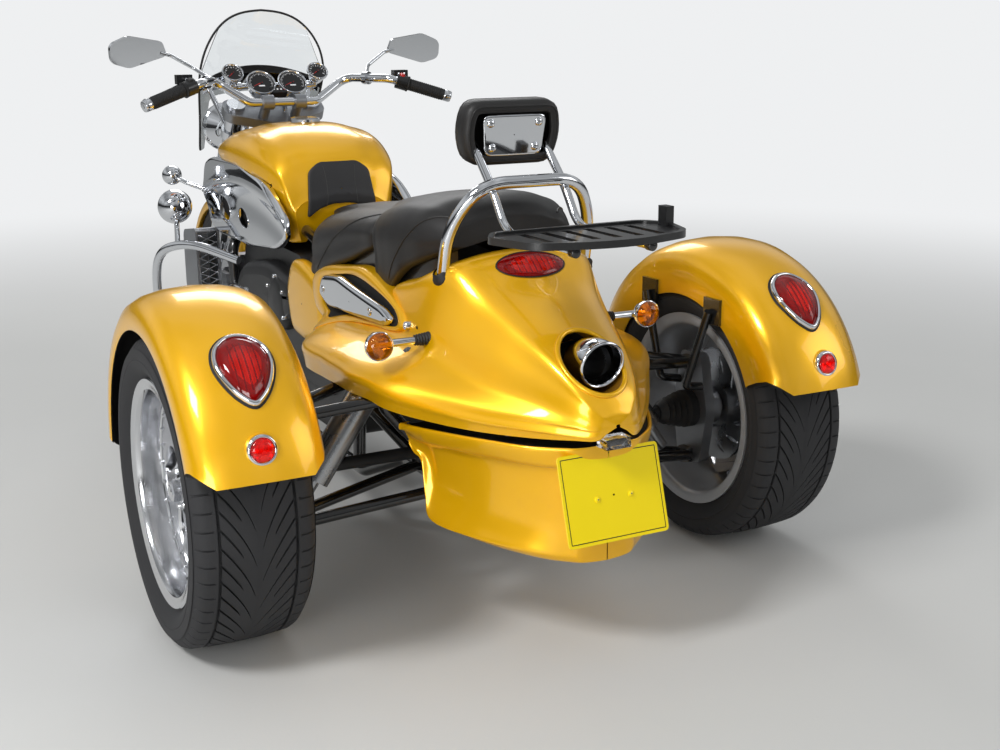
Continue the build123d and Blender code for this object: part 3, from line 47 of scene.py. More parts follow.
TAU = 2 * pi
SIDES = ((1, "left"), (-1, "right"))
RIGHT = Vector((1, 0, 0))

# Driving dimensions in millimetres, the same as the part's
REAR_WHEEL_X, REAR_WHEEL_Y, REAR_WHEEL_RADIUS = 647, 820, 322
REAR_TYRE_HALF = 121
FRONT_WHEEL_Y, FRONT_WHEEL_RADIUS, FRONT_TYRE_HALF = -1030, 336, 75


# Materials
def linear(red, green, blue):
    """A display colour, 0 to 255, as a linear colour with its alpha."""
    shares = [value / 255 for value in (red, green, blue)]
    return (*[v / 12.92 if v <= 0.04045 else ((v + 0.055) / 1.055) ** 2.4 for v in shares], 1)


def new_node(tree, kind, settings=(), **inputs):
    """A shader node. inputs are the values of its sockets, with _ for each space in their names."""
    made = tree.nodes.new("ShaderNode" + kind)
    for key, value in dict(settings).items():
        setattr(made, key, value)
    for key, value in inputs.items():
        made.inputs[key.replace("_", " ")].default_value = value
    return made


def wire(tree, *links):
    """Joins sockets. Each link gives a node, its output, the next node and its input."""
    for source, output, target, entry in links:
        tree.links.new(source.outputs[output], target.inputs[entry])


def material(name, colour, rough, metal=0.0, coat=0.0, vary=0.06, vary_scale=6.0, bump=0.0, cells=False,
             grain_scale=400.0, rough_vary=0.05, **sockets):
    """A node material: mottled colour, uneven gloss and a fine grain in its bump."""
    made = bpy.data.materials.new(name)
    made.use_nodes = True
    tree = made.node_tree
    shader = tree.nodes["Principled BSDF"]
    for key, value in {"Metallic": metal, "Coat Weight": coat, **sockets}.items():
        shader.inputs[key.replace("_", " ")].default_value = value
    colour = linear(*colour)
    place = new_node(tree, "TexCoord")
    cloud = new_node(tree, "TexNoise", Scale=vary_scale, Detail=6)
    dark, light = ([min(1, channel * share) for channel in colour[:3]] + [1]
                   for share in (1 - vary, 1 + vary))
    mottle = new_node(tree, "Mix", {"data_type": "RGBA"}, A=dark, B=light)
    spread = new_node(tree, "MapRange", To_Min=max(0, rough - rough_vary), To_Max=min(1, rough + rough_vary))
    wire(tree, (place, "Object", cloud, "Vector"), (cloud, "Fac", mottle, "Factor"),
         (mottle, "Result", shader, "Base Color"), (cloud, "Fac", spread, "Value"),
         (spread, "Result", shader, "Roughness"))
    if bump:
        fine = new_node(tree, "TexVoronoi" if cells else "TexNoise", Scale=grain_scale)
        relief = new_node(tree, "Bump", Distance=bump * MM, Strength=0.6)
        wire(tree, (place, "Object", fine, "Vector"),
             (fine, "Distance" if cells else "Fac", relief, "Height"), (relief, "Normal", shader, "Normal"))
    return made


def glass(name, colour, rough=0.02, transmit=1.0, bump=0.0, grain_scale=60.0):
    """A clear or tinted lens with a pressed pattern."""
    return material(name, colour, rough, vary=0.02, bump=bump, grain_scale=grain_scale, rough_vary=0.01,
                    cells=True, Transmission_Weight=transmit)


looks = {
    "body_paint": material("golden_paint", (250, 188, 2), 0.3, 0.45, 0.6, vary=0.035, vary_scale=3,
                           bump=0.012, grain_scale=2600, Coat_Roughness=0.03),
    "black_paint": material("black_paint", (26, 26, 27), 0.35, coat=0.5, bump=0.02, grain_scale=900),
    "frame_black": material("gloss_black_frame", (20, 20, 21), 0.24, coat=0.7, bump=0.01, grain_scale=500),
    "chrome": material("chrome", (222, 224, 228), 0.05, 1.0, vary=0.02, rough_vary=0.02),
    "engine_black": material("black_engine", (30, 30, 31), 0.45, bump=0.05, grain_scale=700),
    "alloy": material("polished_alloy", (214, 215, 218), 0.16, 1.0, bump=0.006, grain_scale=900),
    "alloy_cast": material("cast_alloy", (150, 152, 156), 0.42, 0.9, bump=0.06, grain_scale=500),
    "steel": material("ground_steel", (170, 172, 175), 0.28, 1.0, bump=0.01, grain_scale=1200),
    "leather": material("black_leather", (33, 32, 32), 0.48, bump=0.16, cells=True, grain_scale=620,
                        Specular_IOR_Level=0.45),
    "vinyl": material("black_vinyl", (38, 38, 40), 0.52, bump=0.1, cells=True, grain_scale=900),
    "tyre_rubber": material("tyre_rubber", (42, 42, 44), 0.78, vary=0.12, bump=0.05, grain_scale=500),
    "rubber": material("black_rubber", (28, 28, 29), 0.62, bump=0.04, grain_scale=600),
    "clear_lens": glass("clear_lens", (245, 246, 248), bump=0.4, grain_scale=90),
    "screen": glass("clear_screen", (244, 247, 248), rough=0.01),
    "amber_lens": glass("amber_lens", (255, 134, 8), rough=0.04, transmit=0.8, bump=0.5, grain_scale=130),
    "red_lens": glass("red_lens", (255, 30, 20), rough=0.03, transmit=0.92, bump=0.5, grain_scale=85),
    "plate_yellow": material("plate_yellow", (252, 224, 8), 0.35, vary=0.02, bump=0.01),
    "control_black": material("control_black", (24, 24, 25), 0.3, coat=0.3, bump=0.02, grain_scale=800),
    "mesh": material("bright_mesh", (190, 192, 196), 0.2, 1.0),
    "wing_inside": material("wing_inside_black", (14, 14, 14), 0.7, bump=0.2, grain_scale=200),
    "red_button": material("red_button", (190, 20, 16), 0.35, coat=0.4),
    "dial_face": material("dial_face", (232, 233, 236), 0.4, vary=0.02),
    "dial_ink": material("dial_ink", (18, 18, 20), 0.5),
    # Near-black for holes, recesses, bores, windows and grooves: painted shade where no light reaches
    "painted_hole_shade": material("painted_hole_shade", (8, 8, 8), 0.9),
    "stitch": material("seam_stitch", (62, 61, 60), 0.55),
    # A darker red for the lenses' outer rings and flutes: painted shade
    "red_painted_shade": glass("red_painted_shade", (150, 4, 4), rough=0.05, transmit=0.55, bump=0.3, grain_scale=85),
    # Darker gold for the exhaust recess's wall: painted shade inside the recess
    "recess_painted_shade": material("recess_painted_shade", (120, 82, 6), 0.5, vary=0.1),
    "silver_paint": material("silver_paint", (176, 178, 181), 0.36, 0.35, bump=0.02, grain_scale=900),
    "lamp_back": material("lamp_reflector", (255, 120, 96), 0.2, 0.8, bump=5.0, cells=True, grain_scale=70),
    "burnt_steel": material("burnt_steel", (60, 58, 56), 0.5, 0.8),
}
slot_of = {entry["node"]: entry["material_slot"] for entry in frame["record"]["subparts"]}
for node_name, node in frame["nodes"].items():
    node.data.materials.clear()
    node.data.materials.append(looks[slot_of[node_name]])


# Mesh helpers. Points are in millimetres in the part's frame.
@contextmanager
def edited(mesh):
    """A mesh opened for editing, and written back at the end."""
    skin = bmesh.new()
    skin.from_mesh(mesh)
    yield skin
    skin.to_mesh(mesh)
    skin.free()


def mirror(side):
    """Keeps the left side, 1, as it is and turns it into the right side, -1."""
    return Matrix.Scale(side, 4, RIGHT)


class Build:
    """Collects points and faces of one piece."""
    def __init__(self):
        self.points, self.faces, self.marks = [], [], []

    def add(self, points, faces, mark=0, move=None):
        start = len(self.points)
        self.points += [move @ Vector(p) if move else Vector(p) for p in points]
        self.faces += [tuple(start + i for i in face) for face in faces]
        self.marks += [mark] * len(faces)

    def grid(self, rows, closed=False, loop=False, mark=0, move=None, caps=False):
        """Joins rows of points. closed joins each row's ends, loop joins the last row to the first."""
        high, wide = len(rows), len(rows[0])
        faces = []
        for r in range(high if loop else high - 1):
            for c in range(wide if closed else wide - 1):
                a, b = r * wide + c, r * wide + (c + 1) % wide
                e = (r + 1) % high * wide
                faces.append((a, b, e + (c + 1) % wide, e + c))
        if caps:
            faces += [tuple(range(wide))[::-1], tuple((high - 1) * wide + c for c in range(wide))]
        self.add([p for row in rows for p in row], faces, mark, move)

    def lathe(self, profile, steps, axis="x", mark=0, move=None, close=False):
        """Turns (along, radius) pairs about an axis through the origin."""
        rows = []
        for along, radius in profile:
            row = []
            for k in range(steps):
                c, s = radius * cos(TAU * k / steps), radius * sin(TAU * k / steps)
                row.append({"x": (along, c, s), "y": (c, along, s), "z": (c, s, along)}[axis])
            rows.append(row)
        self.grid(rows, closed=True, loop=close, mark=mark, move=move)

    def tube(self, path, radius, steps, mark=0, loop=False, caps=True, move=None):
        """A tube along a list of points. The radius may be one number or one for each point."""
        path = [Vector(p) for p in path]
        count = len(path)
        rows, side = [], None
        for k, place in enumerate(path):
            ahead = path[(k + 1) % count] if loop or k < count - 1 else place
            behind = path[k - 1] if loop or k else place
            way = (ahead - behind).normalized()
            if side is None:
                side = way.orthogonal().normalized()
            side = (side - way * side.dot(way)).normalized()
            other = way.cross(side)
            size = radius[k] if isinstance(radius, (list, tuple)) else radius
            rows.append([place + size * (side * cos(TAU * j / steps) + other * sin(TAU * j / steps))
                         for j in range(steps)])
        self.grid(rows, closed=True, loop=loop, mark=mark, caps=caps and not loop, move=move)

    def prism(self, radius, low, high, sides, axis="x", soft=0.0, mark=0, move=None):
        """A nut or bolt head: a prism with its outer end chamfered."""
        profile = [(low, radius), (high - soft, radius), (high, radius - soft), (high, 0.01)]
        self.lathe(profile, sides, axis, mark, move)

    def make(self, name, slot, body, replaced=(), marks=(), sharp=35.0):
        """One object. marks are the looks of the faces marked 1, 2, ..."""
        mesh = bpy.data.meshes.new(name)
        mesh.from_pydata([p * MM for p in self.points], [], self.faces)
        made = bpy.data.objects.new(name, mesh)
        bpy.context.scene.collection.objects.link(made)
        with edited(mesh) as skin:
            bmesh.ops.recalc_face_normals(skin, faces=skin.faces)
        mesh.shade_smooth()
        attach(made, body)
        if replaced:
            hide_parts(*replaced)
        for one in (slot, *marks):
            mesh.materials.append(looks[one])
        for face, mark in zip(mesh.polygons, self.marks):
            face.material_index = mark
        mesh.set_sharp_from_angle(angle=radians(sharp))
        return made


def curve_through(points, steps, loop=False):
    """Points on a smooth line through the given ones."""
    points = [Vector(p) for p in points]
    count = len(points)
    out = []
    for k in range(count if loop else count - 1):
        if loop:
            a, b, c, d = (points[(k + i - 1) % count] for i in range(4))
        else:
            a, b, c, d = (points[min(max(k + i - 1, 0), count - 1)] for i in range(4))
        for j in range(steps):
            t = j / steps
            out.append(0.5 * (2 * b + (c - a) * t + (2 * a - 5 * b + 4 * c - d) * t * t
                              + (3 * b - a - 3 * c + d) * t ** 3))
    if not loop:
        out.append(points[-1])
    return out


def surface_through(rows, along, across):
    """A fine grid of points through a coarse one."""
    wide = [curve_through(row, across) for row in rows]
    columns = [curve_through(column, along) for column in zip(*wide)]
    return [list(row) for row in zip(*columns)]


def at(x=0, y=0, z=0, turn=(0, 0, 0)):
    """A place and a turn in degrees about X, then Y, then Z."""
    about_x, about_y, about_z = (Matrix.Rotation(radians(angle), 4, axis) for angle, axis in zip(turn, "XYZ"))
    return Matrix.Translation((x, y, z)) @ about_z @ about_y @ about_x


# Tyres with a directional tread
def smooth_step(value):
    value = min(max(value, 0), 1)
    return value * value * (3 - 2 * value)


def tyre(name, body, node, x, y, radius, half, rim_half, pitches, sweep):
    """A tyre turned about X. Its columns follow the long grooves, so their edges are clean."""
    bead = 216.3
    height = radius - bead
    wall = [(rim_half, bead + 0.2), (rim_half, 233), (rim_half + 3, 238)]
    for share, inwards in ((0.34, 6), (0.46, 0.8), (0.52, 0), (0.54, 1.2), (0.56, 0), (0.66, 0),
                           (0.74, 0.012 * height)):
        wall.append((half - inwards, bead + share * height))
    # Each station: across, radius, depths of the long and the short grooves, in a shoulder block,
    # in the all-round groove, share of the half width
    stations = []
    for share in (0, 0.05, 0.08, 0.14, 0.20, 0.26, 0.30, 0.36, 0.42, 0.48, 0.54, 0.585, 0.60, 0.605, 0.65,
                  0.655, 0.69, 0.72, 0.80, 0.88, 0.94, 0.975, 1.0):
        drop = 0.045 * height * (share / 0.8) ** 2
        if share >= 0.8:
            drop = 0.045 * height + 0.235 * height * ((share - 0.8) / 0.2) ** 2
        long_groove = smooth_step((share - 0.05) / 0.05) if 0.05 < share < 0.603 else 0
        short_groove = smooth_step((share - 0.26) / 0.05) if 0.26 < share < 0.603 else 0
        stations.append((share * (half - 0.02 * height), radius - drop, long_groove, short_groove,
                         0.70 < share < 0.96, 0.602 < share < 0.652, share))
    stations += [(a, r, 0, 0, False, False, 1.0) for a, r in reversed(wall)]
    rows = []
    spacing = TAU / pitches / 2
    # Groove widths are in millimetres on a spacing of this length
    unit = 36
    middle = 3.2 / unit
    for sign, table in ((-1, stations[::-1]), (1, stations[1:])):
        for across, r, long_groove, short_groove, block, ring, share in table:
            row = []
            swept = sweep * min(share / 0.6, 1.0) ** 0.55
            wide = 1.2 if block else 0.9 + 1.5 * min(share / 0.4, 1)
            for k in range(2 * pitches):
                cut = 0.6 if block else (short_groove if (k + (sign > 0)) % 2 else long_groove)
                for offset, inside in ((middle - (wide + 1) / unit, 0), (middle - wide / unit, 1),
                                       (middle + wide / unit, 1), (middle + (wide + 1) / unit, 0),
                                       (0.38, 0), (0.62, 0), (0.82, 0)):
                    angle = (k + offset) * spacing + swept
                    low = r - 0.062 * height * max(ring, cut if inside else 0)
                    row.append((sign * across, low * cos(angle), low * sin(angle)))
            rows.append(row)
    build = Build()
    build.grid(rows, closed=True, move=at(x, y, radius))
    build.make(name, "tyre_rubber", body, [node], sharp=28)


for side, word in SIDES:
    tyre(f"{word}_rear_tyre", f"rear_wheel_{word}", f"rear_tyre_{word}", side * REAR_WHEEL_X, REAR_WHEEL_Y,
         REAR_WHEEL_RADIUS, REAR_TYRE_HALF, 99, 28, 0.50)
tyre("front_tyre_tread", "front_wheel", "front_tyre", 0, FRONT_WHEEL_Y, FRONT_WHEEL_RADIUS, FRONT_TYRE_HALF,
     45, 26, 0.30)


# Wheels
def leaf(build, count, inner, outer, hub, edge, face, back, widest, swirl, mark=0, soft=4, power=0.8):
    """A spoked disc. Between the spokes lie leaf-shaped windows from inner to outer."""
    stations = [hub, inner] + [inner + (outer - inner) * k / 14 for k in range(1, 14)] + [outer, edge]
    for sector in range(count):
        rows = []
        for r in stations:
            share = min(max((r - inner) / (outer - inner), 0), 1)
            gap = widest * sin(pi * share) ** power if 0 < share < 1 else 0
            turn = swirl * (r - hub) / (edge - hub)
            first = TAU * sector / count + gap / r + turn
            last = TAU * (sector + 1) / count - gap / r + turn
            top = face(r)
            inset = soft / r
            cut = min(gap, 1) * soft
            row = []
            for angle, x in ((first, back), (first, top - cut), (first + inset, top),
                             ((2 * first + last) / 3, top + 1), ((first + 2 * last) / 3, top + 1),
                             (last - inset, top), (last, top - cut), (last, back)):
                row.append((x, r * cos(angle), r * sin(angle)))
            rows.append(row)
        build.grid(rows, closed=True, mark=mark)


RIM_BOLTS, RIM_BOLT_CIRCLE = 30, 197.5
WHEEL_NUTS, NUT_CIRCLE = 5, 39


def on_circle(share, radius):
    """A place on a circle about X."""
    return at(0, radius * cos(TAU * share), radius * sin(TAU * share))


def rear_wheel(side, word):
    """Polished deep rim, bolted spider, hub with nuts and cap, and the brake disc, its face towards +X."""
    build = Build()
    rim = [(-106.5, 236), (-99.5, 236), (-99.5, 217), (99.5, 217), (99.5, 236), (106, 236.5), (108, 234),
           (108, 229), (105, 222), (103.5, 213), (99, 209.5), (92, 208), (52, 206.5), (49, 204), (20, 204),
           (-60, 205), (-92, 206), (-99, 209), (-104, 216), (-106, 229)]
    build.lathe(rim[3:14], 96)
    build.lathe(rim[13:] + rim[:4], 96, mark=4)
    leaf(build, 5, 80, 190, 50, 205, lambda r: 50 - 0.02 * (r - 60), 24, 27, 0.75, soft=5)
    for k in range(RIM_BOLTS):
        build.prism(4.6, 46, 53, 8, soft=2.4, move=on_circle(k / RIM_BOLTS, RIM_BOLT_CIRCLE))
    # Black recess, nuts and cap
    build.lathe([(40, 60), (53, 60), (55, 57), (53.5, 54), (46, 52), (46, 1)], 64, mark=1)
    for k in range(WHEEL_NUTS):
        spot = on_circle((k + 0.5) / WHEEL_NUTS, NUT_CIRCLE)
        build.prism(10, 46, 60, 6, soft=1.5, move=spot)
        build.lathe([(58, 8.4), (65, 7.4), (69, 4.5), (70, 0.5)], 16, move=spot)
    build.lathe([(46, 27), (62, 26.5), (65, 24.5), (65, 1)], 48)
    build.prism(22.5, 64, 84, 6, soft=3)
    build.lathe([(83.5, 15), (86, 12), (86.5, 0.5)], 24)
    # Hub and drilled disc on the inner side
    build.lathe([(-16, 30), (-16, 61), (30, 61), (36, 52)], 48, mark=2)
    leaf(build, 12, 84, 126, 60, 140, lambda r: -17, -21.5, 7, 0.5, mark=3, soft=1)
    build.tube([(66, 0, 206), (70, 0, 196), (80, 0, 176)], [4.5, 3.4, 3.4], 10, mark=1,
               move=at(turn=(205, 0, 0)))
    place = at(side * REAR_WHEEL_X, REAR_WHEEL_Y, REAR_WHEEL_RADIUS) @ mirror(side)
    build.points = [place @ p for p in build.points]
    build.make(f"{word}_rear_wheel_metal", "alloy", f"rear_wheel_{word}", [f"rear_rim_{word}"],
              marks=("control_black", "alloy_cast", "steel", "silver_paint"))


for side, word in SIDES:
    rear_wheel(side, word)

# Front wheel: a thin rim, five spokes and a plain hub
build = Build()
build.lathe([(-52, 229), (-45, 229), (-45, 217), (45, 217), (45, 229), (51, 229.5), (52.5, 227), (51, 220),
             (48, 211), (42, 207), (-42, 207), (-48, 211), (-51, 220), (-52.5, 227)], 96, close=True)
leaf(build, 5, 62, 196, 36, 208, lambda r: 12, -12, 46, 0.0, power=0.55)
build.lathe([(-62, 16), (-62, 38), (-20, 44), (20, 44), (62, 38), (62, 16)], 48)
build.tube([(0, 0, 206), (8, 0, 186)], 3.4, 8, mark=1, move=at(turn=(150, 0, 0)))
build.points = [at(0, FRONT_WHEEL_Y, FRONT_WHEEL_RADIUS) @ p for p in build.points]
build.make("front_wheel_metal", "alloy", "front_wheel", ["front_rim"], marks=("control_black",))

# Rear body: one smooth skin from the rider's seat to the tail
# Columns: y, top z, shoulder x, z, waist x, z, lip x, z, edge x, z
REAR_BODY = [
    (300, 608, 150, 600, 188, 560, 202, 502, 194, 450),
    (360, 630, 158, 621, 196, 576, 236, 512, 228, 463),
    (430, 650, 165, 640, 202, 590, 276, 522, 268, 474),
    (550, 661, 170, 651, 206, 593, 345, 528, 338, 480),
    (690, 676, 176, 665, 208, 601, 352, 532, 346, 484),
    (765, 708, 194, 690, 212, 603, 352, 531, 346, 486),
    (850, 732, 192, 712, 213, 605, 352, 530, 346, 487),
    (920, 766, 182, 738, 212, 606, 341, 527, 334, 486),
    (975, 780, 158, 750, 208, 602, 324, 517, 317, 476),
    (1050, 731, 130, 702, 192, 586, 275, 502, 268, 465),
    (1150, 679, 106, 652, 158, 564, 209, 490, 202, 459),
    (1250, 622, 84, 602, 108, 541, 137, 487, 131, 461),
    (1318, 566, 60, 552, 70, 517, 80, 484, 76, 466),
    (1345, 524, 34, 518, 42, 502, 50, 483, 46, 468),
]


def body_row(y, z_top, sx, sz, wx, wz, lx, lz, ex, ez):
    """Half of a section, from the ridge down to the turned-in edge."""
    flare = max(lx - wx, 0)
    row = [(share * sx, z_top - drop * (z_top - sz)) for share, drop in ((0, 0), (0.30, 0.06), (0.66, 0.34))]
    row.append((sx, sz))
    row += [(sx + out * (wx - sx), sz + down * (wz - sz)) for out, down in ((0.42, 0.36), (0.80, 0.74))]
    row += [(wx + out * flare, wz - down * (wz - lz))
            for out, down in ((0.12, 0.24), (0.46, 0.50), (0.80, 0.74))]
    row += [(lx - 5, lz + 5), (lx, lz - 8), ((lx + ex) / 2, (lz + ez) / 2), (ex, ez + 3), (ex - 1, ez),
            (ex - 7, ez + 1), (ex - 9, ez + 14)]
    return [(x, y, z) for x, z in row]


def whole(rows):
    """Mirrors half sections into whole ones."""
    return [[(-x, y, z) for x, y, z in reversed(row)] + row[1:] for row in rows]


def cut_away(made, value, moved=None):
    """Cuts a skin where value(point) changes sign, and takes away or moves the part where it is negative."""
    with edited(made.data) as skin:
        sizes = {v: value(v.co / MM) for v in skin.verts}
        new = set()
        for edge in list(skin.edges):
            a, b = edge.verts
            if a in new or b in new or (sizes[a] < 0) == (sizes[b] < 0):
                continue
            low, high = 0.0, 1.0
            for _ in range(14):
                mid = (low + high) / 2
                if (value(a.co.lerp(b.co, mid) / MM) < 0) == (sizes[a] < 0):
                    low = mid
                else:
                    high = mid
            _, vert = bmesh.utils.edge_split(edge, a, low)
            sizes[vert] = 0
            new.add(vert)
        for face in list(skin.faces):
            cuts = [v for v in face.verts if v in new]
            if len(cuts) == 2:
                try:
                    bmesh.utils.face_split(face, cuts[0], cuts[1])
                except ValueError:
                    continue
        if moved:
            for vert in skin.verts:
                if vert not in new and value(vert.co / MM) < 0:
                    vert.co = moved(vert.co / MM) * MM
        else:
            gone = [face for face in skin.faces if value(face.calc_center_median() / MM) < 0]
            bmesh.ops.delete(skin, geom=gone, context="FACES")


def surface_of(made):
    """A search tree of a piece's surface, in metres."""
    skin = bmesh.new()
    skin.from_mesh(made.data)
    tree = BVHTree.FromBMesh(skin)
    skin.free()
    return tree


def drop_on(tree, start, way, lift=0.0):
    """Where a line from start meets a surface, in millimetres, and the surface's direction there."""
    hit, normal, _, _ = tree.ray_cast(Vector(start) * MM, Vector(way).normalized())
    if hit is None:
        return None, None
    if normal.dot(Vector(way)) > 0:
        normal = -normal
    return hit / MM + lift * normal, normal


body_rows = whole([body_row(*row) for row in REAR_BODY])
tail_cap = [[(0.55 * x, 1351, 0.5 * z + 0.5 * 494) for x, y, z in body_rows[-1]],
            [(0.1 * x, 1354, 0.1 * z + 0.9 * 494) for x, y, z in body_rows[-1]]]
body = Build()
body.grid(surface_through(body_rows + tail_cap, 7, 3))
rear_skin = body.make("rear_body_skin", "body_paint", "chassis", ["rear_body"], sharp=50)
body_surface = surface_of(rear_skin)

# Exhaust recess: an opening about the silencer's axis with a rolled rim and a cup whose darker gold wall and
# black floor are painted shade
SILENCER_START = Vector((0, 790, 500))
SILENCER_TILT = radians(12)
SILENCER_WAY = Vector((0, cos(SILENCER_TILT), sin(SILENCER_TILT)))
RECESS_RADIUS = 64
RECESS_SHIFT = 7
RECESS_FLOOR = 390
TIP_END = 484


def round_silencer(share, radius, along):
    """A point about the silencer's axis. The recess itself is set a little to the left."""
    angle = TAU * share
    return (SILENCER_START + along * SILENCER_WAY + (RECESS_SHIFT if radius > 50 else 0) * RIGHT
            + radius * (cos(angle) * RIGHT + sin(angle) * SILENCER_WAY.cross(RIGHT)))


def off_silencer(point):
    """How far a point lies outside the recess."""
    away = point - SILENCER_START - RECESS_SHIFT * RIGHT
    return (away - SILENCER_WAY * away.dot(SILENCER_WAY)).length - RECESS_RADIUS if away.y > 350 else 50


RECESS_STEPS = 60
rim_line = []
for k in range(RECESS_STEPS):
    start = round_silencer(k / RECESS_STEPS, RECESS_RADIUS, 640)
    hit, _ = drop_on(body_surface, start, -SILENCER_WAY)
    rim_line.append(hit if hit else round_silencer(k / RECESS_STEPS, RECESS_RADIUS, 470))
cut_away(rear_skin, off_silencer)
recess = Build()
recess.tube(rim_line, 5.5, 10, loop=True)
foot = [round_silencer(k / RECESS_STEPS, RECESS_RADIUS - 2, RECESS_FLOOR + 2) for k in range(RECESS_STEPS)]
inner = [rim_line] + [[p.lerp(deep, share) for p, deep in zip(rim_line, foot)] for share in (0.3, 0.65, 1.0)]
# The cup's wall is a darker gold: painted shade
recess.grid(inner, closed=True, mark=1)
floor_ring = [round_silencer(k / RECESS_STEPS, 44, RECESS_FLOOR) for k in range(RECESS_STEPS)]
# Its black floor: painted shade deep in the recess
recess.grid([inner[-1], floor_ring], closed=True, mark=2)
recess.make("exhaust_recess", "body_paint", "chassis", marks=("recess_painted_shade", "painted_hole_shade"), sharp=50)

# Lower shell
# Columns: y, lip x, z, neck x, z, flank x, z, foot x, z, bottom z
LOWER_SHELL = [
    (962, 284, 440, 272, 424, 268, 415, 262, 406, 414),
    (974, 280, 441, 263, 414, 257, 392, 257, 384, 392),
    (998, 274, 442, 250, 406, 242, 376, 250, 366, 352),
    (1018, 268, 443, 242, 404, 232, 350, 252, 300, 290),
    (1045, 258, 444, 236, 402, 226, 322, 250, 252, 238),
    (1150, 208, 447, 184, 402, 182, 310, 202, 240, 217),
    (1250, 146, 448, 124, 400, 122, 300, 138, 234, 210),
    (1302, 90, 449, 74, 400, 74, 300, 80, 230, 208),
    (1318, 60, 449, 50, 404, 50, 300, 56, 230, 210),
]


def shell_row(y, lx, lz, nx, nz, kx, kz, fx, fz, bz):
    """Half of a section, from the bottom up to the turned-in lip."""
    return [(0, y, bz), (0.5 * fx, y, bz), (0.86 * fx, y, bz + 3), (fx - 1, y, fz - 8), (fx, y, fz),
            (0.6 * fx + 0.4 * kx, y, fz + 0.3 * (kz - fz)), (kx, y, kz), (nx, y, nz - 4),
            (0.4 * nx + 0.6 * lx, y, nz + 8), (lx, y, lz - 14), (lx + 1, y, lz - 4), (lx - 3, y, lz),
            (lx - 9, y, lz - 2)]


shell = Build()
shell_rows = whole([shell_row(*row) for row in LOWER_SHELL])
front_cap = [[(0.93 * x, 957, 0.93 * z + 0.07 * 424) for x, y, z in shell_rows[0]]]
shell_rows += [[(0.02 * x, 1321, z) for x, y, z in shell_rows[-1]]]
shell.grid(surface_through(front_cap + shell_rows, 7, 3))
# A black lid across the shell's top: painted shade for its hollow inside
lid = surface_through([[(share * (row[-1][0] + 2), row[-1][1], row[-1][2] - 3) for share in (-1, 0, 1)]
                       for row in shell_rows[:-1]], 4, 1)
shell.grid(lid, mark=1)
shell.make("lower_shell_skin", "body_paint", "chassis", ["lower_shell"], marks=("wing_inside",), sharp=50)


# Rear wings: a rolled section turned about the wheel, longer over the crown
# Columns: across from the tyre's inner side to its outer side, radius
WING_SECTION = [(-131, 287), (-132, 300), (-132, 330), (-129, 362), (-117, 386), (-92, 400), (-55, 409),
                (0, 413), (55, 409), (92, 400), (116, 386), (127, 366), (129, 350), (129, 338),
                (127.5, 334.5), (124, 336), (123, 350), (120, 366), (110, 381), (88, 394), (52, 403),
                (0, 407), (-52, 403), (-88, 394), (-112, 381), (-124, 358), (-127, 330), (-127, 300),
                (-126.5, 288), (-128.5, 286)]
# Faces of the section that make the wing's black inside
WING_INNER = range(14, 29)
WING_HALF = 132
WING_REAR, WING_FRONT, WING_STEPS = 17.5, 182, 56


def wing(side, word):
    """One wing. Its ends are cut level and their corners are rounded."""
    rows = []
    for k in range(WING_STEPS + 1):
        row = []
        for across, radius in WING_SECTION:
            corner = 36 * max(0, abs(across) / WING_HALF - 0.72) ** 1.3
            rear, front = WING_REAR + corner, WING_FRONT - corner
            angle = radians(rear + (front - rear) * k / WING_STEPS)
            row.append((side * (REAR_WHEEL_X - 1 + across), REAR_WHEEL_Y + radius * cos(angle),
                        REAR_WHEEL_RADIUS + radius * sin(angle)))
        rows.append(row)
    build = Build()
    build.grid(rows, closed=True)
    build.marks = [int(k % len(WING_SECTION) in WING_INNER) for k in range(len(build.faces))]
    return build.make(f"{word}_wing_skin", "body_paint", "chassis", ["rear_wings"], marks=("wing_inside",),
                      sharp=40)


wing_skins = {side: wing(side, word) for side, word in SIDES}


# Tank, seats and pads: crowned sections joined into smooth skins
def crowned_row(y, z_top, cx, cz, wx, wz, bx, bz, tuck=6.0):
    """Half of a section: crown, widest place and tucked-in bottom."""
    low = wz - bz
    return [(0, y, z_top), (0.34 * cx, y, z_top - 0.08 * (z_top - cz)),
            (0.70 * cx, y, z_top - 0.38 * (z_top - cz)), (cx, y, cz - 1),
            (cx + 0.45 * (wx - cx), y, cz - 0.17 * (cz - wz)),
            (cx + 0.82 * (wx - cx), y, cz - 0.52 * (cz - wz)), (wx, y, wz),
            (wx + 0.30 * (bx - wx), y, wz - 0.40 * low), (bx, y, bz + 0.22 * low), (bx - tuck, y, bz + 2),
            (bx - 3 * tuck, y, bz)]


def end_rows(row, rounds, middle):
    """Rounds off the end of a skin. rounds gives (share of the section left, y of its crest) pairs."""
    crest = row[len(row) // 2][1]
    return [[(share * x, y + place - crest, middle + share * (z - middle)) for x, place, z in row]
            for share, y in rounds]


# Columns: y, top z, crown x, z, widest x, z, bottom x, z
TANK = [
    (-555, 925, 120, 915, 195, 885, 185, 845),
    (-500, 950, 124, 938, 208, 892, 196, 838),
    (-420, 968, 126, 955, 210, 895, 203, 825),
    (-270, 968, 134, 951, 204, 885, 201, 770),
    (-160, 938, 124, 926, 188, 866, 178, 700),
    (-92, 888, 102, 876, 166, 836, 156, 668),
    (-62, 800, 74, 790, 138, 754, 130, 666),
]
tank_rows = whole([crowned_row(*row) for row in TANK])
tank_rows = end_rows(tank_rows[0], [(0.1, -556), (0.86, -556)], 880) + tank_rows
tank_rows += end_rows(tank_rows[-1], [(0.86, -59), (0.1, -58)], 735)
tank = Build()
tank.grid(surface_through(tank_rows, 8, 4))
tank_skin = tank.make("fuel_tank_skin", "body_paint", "chassis", ["fuel_tank"], sharp=50)
tank_surface = surface_of(tank_skin)


